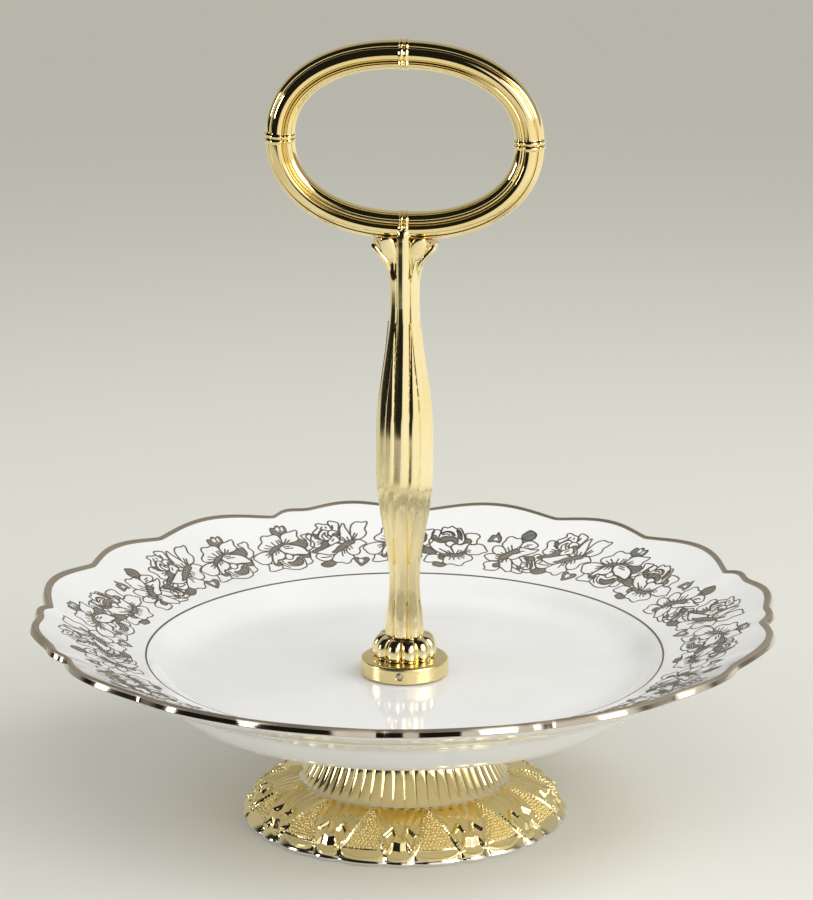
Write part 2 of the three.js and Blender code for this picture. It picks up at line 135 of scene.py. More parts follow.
BORE_RADIUS = 3.3
FOOT_EDGE_RADIUS = 54.9
FOOT_WALL = 1.9
FOOT_EDGE_INNER = FOOT_EDGE_RADIUS - FOOT_WALL
FOOT_EDGE_LINE = [
    [FOOT_EDGE_INNER, 0.5], [FOOT_EDGE_INNER + 0.5, 0], [FOOT_EDGE_RADIUS - 0.6, 0],
    [FOOT_EDGE_RADIUS, 0.45], [FOOT_EDGE_RADIUS + 0.1, 0.9],
]
SKIRT = [
    [54.9, 1.3], [53.9, 2.5], [52.3, 4.2], [50.1, 6.5], [47.6, 8.6],
    [44.6, 10.5], [41.4, 11.9], [38, 12.9], [35, 13.5],
]
NECK = [
    [34.7, 13.6], [33.7, 14.9], [32.3, 17.2], [30.6, 20.4], [29.0, 24],
    [28.1, 27.5], [27.9, 31], [28.5, 34.6], [29.8, 38], [31.3, 40.9],
]
CROWN = [
    [32.1, 41.6], [32.5, 42.3], [32.4, 43.3], [31.9, CROWN_TOP], [BORE_RADIUS, CROWN_TOP],
    [BORE_RADIUS, CROWN_BOTTOM], [25.2, CROWN_BOTTOM], [26.5, CROWN_BOTTOM - 1.2],
]
HOLLOW = [[26.7, 33], [27, 21], [29.6, 13.4], [32, 11.6], [41, 9.2], [46.5, 5.6], [49.9, 2.3]]
PANEL_PAIRS = 13
PANEL_TURN = math.radians(10.4)
PAIR_COLUMNS = 68
SKIRT_ROWS = 60
STIPPLED_SHARE = 0.625
FOOT_SCALLOP_DEPTH = 1.3
NECK_RIBS = 52
NECK_RIB_DEPTH = 0.6
NECK_RIB_FULLNESS = 0.985
JOINT_RADIUS = 34.6
JOINT_HEIGHT = 14

# Relief of the skirt: heights in millimetres, and shares of the way up it. The
# petal is a line of places beside and above the foot of a leaf panel's middle.
PANEL_FOOT = 0.19
PANEL_HEAD = 0.93
PANEL_HEAD_SHARE = 0.26
PANEL_CROWN = 0.3
PANEL_EDGE_HALF_WIDTH = 0.6
PANEL_EDGE_HEIGHT = 1.15
PILLOW_HEIGHT = 0.5
RELIEF_SINK = 0.35
PETAL = ((4.4, -1.2), (5.6, 5.1), (2.3, 8.9), (1.1, 5.2), (4.4, -1.2))
PETAL_HALF_WIDTH = 0.8
PETAL_EDGE_HEIGHT = 1.4
MIDDLE_LEAF_HEIGHT = 1.5
FAN_LINES = 16
FAN_HEIGHT = 0.3
FAN_FROM = 8.5
GRAIN_SIDES = 8
GRAIN_PITCH = 1.28
GRAIN_SIZES = (0.52, 0.64)
GRAIN_JITTER = 0.2
GRAIN_ROW_STEP = GRAIN_PITCH * 0.87
GRAIN_FIRST_ROW = 0.7
GRAIN_MARGIN = 0.9
GRAINS_ASIDE = 12

# Ring

RING_BAR_WIDTH = 9.6
RING_BAR_DEPTH = 8.8
RING_CENTRE = (RING_LOW[2] + RING_HIGH[2]) / 2
RING_WIDTH = 91.5
RING_HEIGHT = 66.84
RING_SQUARENESS = 2.2
RING_BOTTOM = RING_CENTRE - RING_HEIGHT / 2
REED_EDGES = (-47, 47, 107, 121, 239, 253, 313)
REED_COLUMNS = (40, 30, 12, 40, 12, 30)
REEDS = list(zip(REED_EDGES[:-1], REED_EDGES[1:], REED_COLUMNS))
REED_DEPTH = 0.8
REED_FULLNESS = 0.95
WIDE_REED = 60
NARROW_REED_DROP = 0.4
GROOVE_DEPTH = 0.5
GROOVE_HALF_DEGREES = 6.5
BAND_REACH = 2.4
BAND_ROWS = 33
BETWEEN_ROWS = 62
BAND_RIDGE = 1.6
BAND_RISE = 0.4
BAND_REED_FADE = 0.35

# Stem

STEM_FOOT = COLLAR_HIGH[2]
STEM_LENGTH = RING_BOTTOM - STEM_FOOT
STEM_COLUMNS = 300
GADROON_ROWS = 22
SHAFT_ROWS = 150
CAPITAL_ROWS = 42
GADROON_HEIGHT = 8.0
GADROON_RADIUS = 10.9
GADROON_FOOT_RADIUS = 10.1
GADROON_COUNT = 11
GADROON_DEPTH = 0.24
GADROON_FULLNESS = 0.96
GADROON_WIDEST = 0.24
GADROON_SPAN = 0.78
GADROON_FOOT_HEIGHT = 0.9
GADROON_FOOT_SWELL = 0.8
STEM_BASE_RADIUS = 6.6
NECK_RADIUS = 5.2
SWELL_RADIUS = 9.6
LOWER_NECK_FROM = 26
LOWER_NECK_TO = 27
SWELL_FROM = 63
SWELL_TO = 77
UPPER_NECK_DROP = 20
NECK_TOP = STEM_LENGTH - UPPER_NECK_DROP
CAPITAL_HALF_WIDTH = 10.6
CAPITAL_HALF_DEPTH = 4.4
CAPITAL_FLARE = 3.2
CAPITAL_DROP = 14
RIB_COUNT = 6
RIB_HALF_WIDTH = 2.85
RIB_FULLNESS = 0.93
RIB_RIDGE_SHARE = 0.2
RIB_LINE_PLACE = 0.66
RIB_LINE_DEPTH = 0.07
RIB_LINE_WIDTH = 0.14
RIB_LEAN = math.radians(-10)
FLUTE_DEPTH = 1.25
CREASE_DEPTH = 0.22
CREASE_WIDTH = 0.3

# Lines of the capital from its front middle, measured down from the ring, and
# the radii along each of them
STRAP = [[0, 3.5, -22], [0, 3.4, -12], [0, 3.2, -4], [0, 3.1, 0], [0, 2.9, 2.6], [0, 2.2, 4.4]]
STRAP_RADII = ([0, 0.85, 1], [2.3, 2.5, 1.7])
LEAF_RIM = [
    [4.4, 1.6, -14], [4.6, 2.1, -10.5], [5.2, 2.5, -7.8],
    [7.0, 2.8, -5.2], [8.9, 2.8, -3], [10.3, 2.5, -1],
]
LEAF_RIM_RADII = ([0, 0.3, 0.9, 1], [0.5, 1.0, 1.1, 0.85])
TONGUE_PLACE = (4.7, 2.8, -2.5)
TONGUE_SIZE = (2.9, 1.6, 4.3)
TONGUE_LEAN = (0.9, 0.7)

# Rod and nut

THREAD_PITCH = 1.0
THREAD_DEPTH = 0.45
ROD_CHAMFER = 0.8
NUT_FACE_SHARE = 0.97


# Meshes


def unit(value):
    """A value held between 0 and 1."""
    return np.clip(value, 0, 1)


def run_lengths(points):
    """Distance along a line of points to each of them."""
    return np.concatenate([[0], np.cumsum(np.linalg.norm(np.diff(points, axis=0), axis=1))])


def along_line(line, marks, places):
    """Points of a flat line at distances along it."""
    return np.stack([np.interp(places, marks, line[:, axis]) for axis in (0, 1)], -1)


def smooth(points, steps):
    """Points on a smooth curve through the given ones, with steps in each span."""
    points = np.array(points, float)
    marks = run_lengths(points)
    slope = np.gradient(points, marks, axis=0)
    share = np.arange(steps)[:, None] / steps
    spans = []
    for start, run in enumerate(np.diff(marks)):
        spans.append(
            points[start] * (2 * share**3 - 3 * share**2 + 1)
            + points[start + 1] * (3 * share**2 - 2 * share**3)
            + run * slope[start] * (share**3 - 2 * share**2 + share)
            + run * slope[start + 1] * (share**3 - share**2)
        )
    return np.concatenate(spans + [points[-1:]])


def rounded(across, fullness):
    """Drop of a rounded rib below its crest, from -1 to 1 across it."""
    return 1 - np.sqrt(1 - fullness * across**2)


def even_turns(count):
    return np.arange(count) / count * FULL_TURN


def around_z(radius, height, turn):
    """Points at a radius, a height and a turn round Z."""
    return np.stack(np.broadcast_arrays(radius * np.sin(turn), -radius * np.cos(turn), height), -1)


def swept(outline, turns):
    """Radii, heights and turns of an outline's points, repeated at each turn."""
    outline = np.array(outline, float)
    radius, turn = np.meshgrid(outline[:, 0], turns, indexing="ij")
    return radius, np.repeat(outline[:, 1:], len(turns), axis=1), turn


def grid(points, close_rows=False):
    """Vertices and faces of a sheet of points, given as rows, columns and axes,
    whose columns meet all round."""
    rows, columns, axes = points.shape
    row = np.arange(rows if close_rows else rows - 1)
    row, column = np.meshgrid(row, np.arange(columns), indexing="ij")
    next_row = (row + 1) % rows
    next_column = (column + 1) % columns
    corners = [
        row * columns + column,
        row * columns + next_column,
        next_row * columns + next_column,
        next_row * columns + column,
    ]
    return points.reshape(-1, axes), np.stack(corners, -1).reshape(-1, 4)


def capped(rings, low, high):
    """Rings of points, closed by a point at each end."""
    low, high = (np.broadcast_to(end, rings[:1].shape) for end in (low, high))
    return grid(np.concatenate([low, rings, high]))


def turned(outline, turns, reshape=None):
    """Turns an outline of [radius, height] points round Z, running outwards
    along the bottom. reshape moves the radii and heights by their turns."""
    radius, height, turn = swept(outline, turns)
    if reshape is not None:
        radius, height = reshape(radius, height, turn)
    return grid(around_z(radius, height, turn), close_rows=True)


def joined(parts):
    vertices = []
    faces = []
    count = 0
    for part_vertices, part_faces in parts:
        vertices.append(np.asarray(part_vertices, float))
        faces.extend((np.asarray(face) + count).tolist() for face in part_faces)
        count += len(part_vertices)
    return np.concatenate(vertices), faces


def new_mesh(name, shape):
    """A mesh in metres out of vertices and faces in millimetres."""
    vertices, faces = shape
    mesh = bpy.data.meshes.new(name)
    mesh.from_pydata((vertices * METRES).tolist(), [], np.asarray(faces, object).tolist())
    return mesh


def new_object(name, data):
    """An object with its data, put into the scene."""
    thing = bpy.data.objects.new(name, data)
    bpy.context.scene.collection.objects.link(thing)
    return thing


def make_piece(name, shape, body, material, replaces=(), crease=40):
    """A smooth-shaded piece that rides on a body, with its poles welded."""
    mesh = new_mesh(name, shape)
    work = bmesh.new()
    work.from_mesh(mesh)
    bmesh.ops.remove_doubles(work, verts=work.verts, dist=1e-8)
    work.to_mesh(mesh)
    work.free()
    mesh.shade_smooth()
    mesh.set_sharp_from_angle(angle=math.radians(crease))
    mesh.materials.append(material)
    piece = new_object(name, mesh)
    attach(piece, body)
    if replaces:
        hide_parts(*replaces)
    return piece


# Nodes of materials and of the world


def feed(tree, socket, source):
    """Links a socket to its source, or sets it to a fixed value or colour."""
    if isinstance(source, bpy.types.NodeSocket):
        tree.links.new(source, socket)
    elif socket.type == "RGBA":
        socket.default_value = (*source, 1)
    else:
        socket.default_value = source


def add_node(tree, kind, inputs=(), **settings):
    """A node with its settings made and its inputs fed."""
    node = tree.nodes.new("ShaderNode" + kind)
    for name, value in settings.items():
        setattr(node, name, value)
    for name, source in dict(inputs).items():
        feed(tree, node.inputs[name], source)
    return node


def combined(tree, operation, *sources):
    """Result of arithmetic on sockets and numbers."""
    return add_node(tree, "Math", dict(enumerate(sources)), operation=operation).outputs["Value"]


def blended(tree, factor, first, second):
    """Mix of two colours, each a socket or a fixed colour."""
    inputs = {"Factor": factor, "A": first, "B": second}
    return add_node(tree, "Mix", inputs, data_type="RGBA").outputs["Result"]


def eased_share(tree, source, low, high, easing="SMOOTHSTEP"):
    """A share that goes from 0 at low to 1 at high of a value, eased between."""
    inputs = {
        "Value": source,
        "From Min": min(low, high),
        "From Max": max(low, high),
        "To Min": float(low > high),
        "To Max": float(low < high),
    }
    return add_node(tree, "MapRange", inputs, interpolation_type=easing).outputs["Result"]


# Materials

COAT = {"Coat Weight": 0.3, "Coat Roughness": 0.04}
PORCELAIN_POLISH = (0.08, 0.14)
CLOUD_SCALE = 30
WAVE_SCALE = 45
WAVE_DEPTH = 0.1
WORN_POLISH = (0.06, 0.13)
WEAR_SCALE = 500
NOISE_MIDDLE = {"From Min": 0.3, "From Max": 0.7}
TINT_MIDDLE = (0.35, 0.65)
PORCELAIN = (0.875, 0.875, 0.87)
PORCELAIN_SHADE = (0.85, 0.85, 0.835)
PALE_GOLD = (0.98, 0.83, 0.45)
SILVER = (0.9, 0.89, 0.85)

# Two colours, smallest and largest roughness, scale of the grain, its depth in
# millimetres, and how metallic the surface is
FINISHES = {
    "gold_plate": ((0.95, 0.79, 0.41), (0.91, 0.73, 0.34), 0.04, 0.08, 700, 0.008, 1),
    "cast_gold_plate": ((0.98, 0.85, 0.51), (0.95, 0.8, 0.43), 0.08, 0.14, 800, 0.02, 1),
    "satin_gold_plate": ((0.95, 0.8, 0.42), (0.91, 0.75, 0.36), 0.2, 0.3, 900, 0.03, 1),
    "platinum_band": ((0.6, 0.54, 0.46), (0.52, 0.46, 0.38), 0.07, 0.13, 500, 0.02, 1),
    "satin_platinum": ((0.46, 0.395, 0.3), (0.38, 0.32, 0.24), 0.3, 0.42, 500, 0.02, 0.7),
    "platinum_print": ((0.22, 0.19, 0.14), (0.16, 0.135, 0.1), 0.4, 0.55, 900, 0.02, 0.35),
    "polished_print": ((0.3, 0.29, 0.28), (0.2, 0.19, 0.18), 0.08, 0.15, 900, 0.02, 1),
    "zinc_plate": ((0.62, 0.63, 0.65), (0.48, 0.49, 0.5), 0.25, 0.4, 400, 0.05, 1),
    "gasket_plastic": ((0.66, 0.65, 0.61), (0.6, 0.59, 0.55), 0.45, 0.6, 300, 0.05, 0),
}


def new_material(name, colour, roughness, metallic):
    """A material with its tree of nodes and the sockets of its shader."""
    material = bpy.data.materials.new(name)
    material.use_nodes = True
    tree = material.node_tree
    sockets = tree.nodes["Principled BSDF"].inputs
    feed(tree, sockets["Base Color"], colour)
    feed(tree, sockets["Roughness"], roughness)
    feed(tree, sockets["Metallic"], metallic)
    return material, tree, sockets


def noise(tree, scale, detail):
    place = add_node(tree, "TexCoord").outputs["Object"]
    inputs = {"Scale": scale, "Detail": detail, "Vector": place}
    return add_node(tree, "TexNoise", inputs).outputs["Fac"]


def vary(tree, source, low, high, socket):
    """Drives a socket between two values by a noise."""
    inputs = {"Value": source, "To Min": low, "To Max": high, **NOISE_MIDDLE}
    feed(tree, socket, add_node(tree, "MapRange", inputs).outputs["Result"])


def tint(tree, source, first, second, socket):
    """Drives a colour between two colours by a noise."""
    ramp = add_node(tree, "ValToRGB", {"Fac": source})
    for element, position, colour in zip(ramp.color_ramp.elements, TINT_MIDDLE, (first, second)):
        element.position = position
        element.color = (*colour, 1)
    feed(tree, socket, ramp.outputs["Color"])


def bump(tree, source, strength, depth, sockets):
    """Bumps of a depth in millimetres by a noise."""
    inputs = {"Strength": strength, "Distance": depth * METRES, "Height": source}
    feed(tree, sockets["Normal"], add_node(tree, "Bump", inputs).outputs["Normal"])


def porcelain_material():
    material, tree, sockets = new_material("porcelain", PORCELAIN, 0.1, 0)
    for name, value in COAT.items():
        feed(tree, sockets[name], value)
    tint(tree, noise(tree, CLOUD_SCALE, 3), PORCELAIN_SHADE, PORCELAIN, sockets["Base Color"])
    waves = noise(tree, WAVE_SCALE, 1)
    vary(tree, waves, *PORCELAIN_POLISH, sockets["Roughness"])
    bump(tree, waves, 0.15, WAVE_DEPTH, sockets)
    return material


def plated_material(name, first, second, smoothest, roughest, grain, grain_depth, metallic):
    """A finish whose colour and polish drift a little over the surface."""
    material, tree, sockets = new_material(name, first, smoothest, metallic)
    drift = noise(tree, 60, 4)
    tint(tree, drift, first, second, sockets["Base Color"])
    vary(tree, drift, smoothest, roughest, sockets["Roughness"])
    bump(tree, noise(tree, grain, 2), 0.25, grain_depth, sockets)
    return material


def worn_gold_material():
    """Gold plate of the foot, silvery where the mesh's wear says so."""
    material, tree, sockets = new_material("worn_gold", PALE_GOLD, 0.1, 1)
    vary(tree, noise(tree, 70, 4), *WORN_POLISH, sockets["Roughness"])
    wear = add_node(tree, "Attribute", attribute_name="wear").outputs["Fac"]
    worn = combined(tree, "MULTIPLY_ADD", noise(tree, WEAR_SCALE, 3), wear, wear)
    feed(tree, sockets["Base Color"], blended(tree, worn, PALE_GOLD, SILVER))
    bump(tree, noise(tree, 900, 2), 0.2, 0.05, sockets)
    return material


finish = {name: plated_material(name, *values) for name, values in FINISHES.items()}
zinc = finish["zinc_plate"]
porcelain = porcelain_material()
worn_gold = worn_gold_material()


# Plate


def plate_lobes():
    """(start, start dip, end, end dip, top) of each lobe over a quarter turn."""
    half = [CREST_LOBE, CREST_SIDE_LOBE, CORNER_LOBE]
    start, dip = CREST_LOBE[:2]
    edges = [(-start, dip)] + [lobe[:2] for lobe in half]
    edges += [(90 - end, end_dip) for end, end_dip in reversed(edges[1:])] + [(90 + start, dip)]
    tops = [lobe[2] for lobe in half]
    tops = tops + [MIDDLE_LOBE_TOP] + tops[::-1]
    return [(*edges[i], *edges[i + 1], top) for i, top in enumerate(tops)]


PLATE_LOBES = plate_lobes()


def plate_dip(turn):
    """How far the plate's edge lies inside the lobe radius at a turn."""
    degrees = np.mod(np.degrees(turn - math.pi / 2 - CREST_TURN), 90)
    dip = np.zeros_like(degrees)
    for start, start_dip, end, end_dip, top in PLATE_LOBES:
        within = (degrees >= start) & (degrees <= end)
        share = unit((degrees - start) / (end - start))
        base = start_dip + (end_dip - start_dip) * share
        rise = np.sin(math.pi * share) ** LOBE_ROUNDNESS
        dip = np.where(within, base + (top - base) * rise, dip)
    return dip


def rim_top(radius):
    """Height of the rim's upper face at a radius, before its scallops."""
    share = (radius - WELL_RADIUS) / (EDGE_CREST_RADIUS - WELL_RADIUS)
    return WELL_HEIGHT + (EDGE_TOP - WELL_HEIGHT) * share - 4 * RIM_HOLLOW * share * (1 - share)


def scalloped(radius, height, turn):
    """Draws the rim in along its own slope by the scallops of its edge."""
    share = np.clip((radius - WELL_RADIUS) / (LOBE_RADIUS - WELL_RADIUS), 0, None)
    inward = share * plate_dip(turn)
    return radius - inward, height - inward * RIM_SLOPE


def on_rim(radius, turn, rise):
    """Point on the rim's upper face at a real radius and a turn."""
    drawn = plate_dip(turn) / (LOBE_RADIUS - WELL_RADIUS)
    plain = (radius - WELL_RADIUS * drawn) / (1 - drawn)
    return around_z(radius, scalloped(plain, rim_top(plain), turn)[1] + rise, turn)


def plate_edge_outline(grow):
    """The rounded edge from below to above, grown by an allowance."""
    low = EDGE_TOP - EDGE_THICKNESS - grow
    tip = LOBE_RADIUS + grow
    edge = [[tip - 1.6 - grow, low - 0.25], [tip - 0.45, low - 0.02], [tip - 0.02, low + 0.22]]
    edge += [[tip - 0.17, low + 0.8], [tip - 0.5, low + 1.6], [tip - 0.88, EDGE_TOP - 0.4 + grow]]
    edge += [[EDGE_CREST_RADIUS - 0.5, EDGE_TOP + grow]]
    edge += [[EDGE_INNER_RADIUS, rim_top(EDGE_INNER_RADIUS) + grow]]
    return smooth(edge, 5)


def plate_outline():
    below = [[radius, FLOOR_BOTTOM + height] for radius, height in PLATE_FOOT_RING]
    rim_radii = np.linspace(EDGE_CREST_RADIUS - 1.8, WELL_RADIUS + 1.5, RIM_ROWS)
    rim = np.stack([rim_radii, rim_top(rim_radii)], -1)
    edge = plate_edge_outline(0)
    return np.concatenate([smooth(below + PLATE_UNDERSIDE, 3), edge, rim, smooth(WELL_CURVE, 4)])


def plate():
    shape = turned(plate_outline(), even_turns(PLATE_COLUMNS), scalloped)
    make_piece("plate_body", shape, "root", porcelain, ["plate"])


def banded(radius, height, turn):
    """Scalloped place of the hand-laid band's outline, whose inner part is
    drawn back where the band is thin."""
    inner = np.clip(EDGE_INNER_RADIUS - radius, 0, None)
    kept = BAND_THINNEST + (1 - BAND_THINNEST) * np.abs(np.sin(turn)) ** 3
    moved = radius + inner * (1 - kept)
    return scalloped(moved, height + rim_top(moved) - rim_top(radius), turn)


def platinum_band():
    """Polished edge from below, and a satin band over the crest and the rim."""
    edge = plate_edge_outline(PRINT_RISE)
    top_radii = np.linspace(EDGE_CREST_RADIUS - 1.4, LOBE_RADIUS - BAND_WIDTH, 5)
    top = np.stack([top_radii, rim_top(top_radii) + PRINT_RISE], -1)
    centre = np.array([LOBE_RADIUS - BAND_WIDTH, EDGE_TOP - EDGE_THICKNESS / 2])
    strips = [
        ("platinum_edge", edge[EDGE_STRIP_START : EDGE_STRIP_END + 1], "platinum_band"),
        ("platinum_band", np.concatenate([edge[EDGE_STRIP_END:], top]), "satin_platinum"),
    ]
    for name, outside, material in strips:
        inside_face = outside + (centre - outside) * PRINT_DEPTH
        outline = np.concatenate([outside, inside_face[::-1]])
        shape = turned(outline, even_turns(PLATE_COLUMNS), banded)
        make_piece(name, shape, "root", finish[material])


def well_line():
    inner = [WELL_LINE_RADIUS - WELL_LINE_WIDTH / 2, WELL_HEIGHT - 0.15]
    outer = [WELL_LINE_RADIUS + WELL_LINE_WIDTH / 2, WELL_HEIGHT + 0.12]
    rises = [(inner, -PRINT_DEPTH), (outer, -PRINT_DEPTH), (outer, PRINT_RISE), (inner, PRINT_RISE)]
    outline = [[radius, height + rise] for (radius, height), rise in rises]
    shape = turned(outline, even_turns(PLATE_COLUMNS))
    make_piece("well_line", shape, "root", finish["platinum_print"])


# Garland motifs, drawn in tenths of a millimetre about a cluster's centre, x
# along the rim and y outwards, with the nearest shape first. Each shape is its
# kind and its outline: a petal has a white inside, a dark shape is filled, a
# blank one only hides what lies behind it, and a line is open. A star marks
# the shapes that are polished in some clusters.

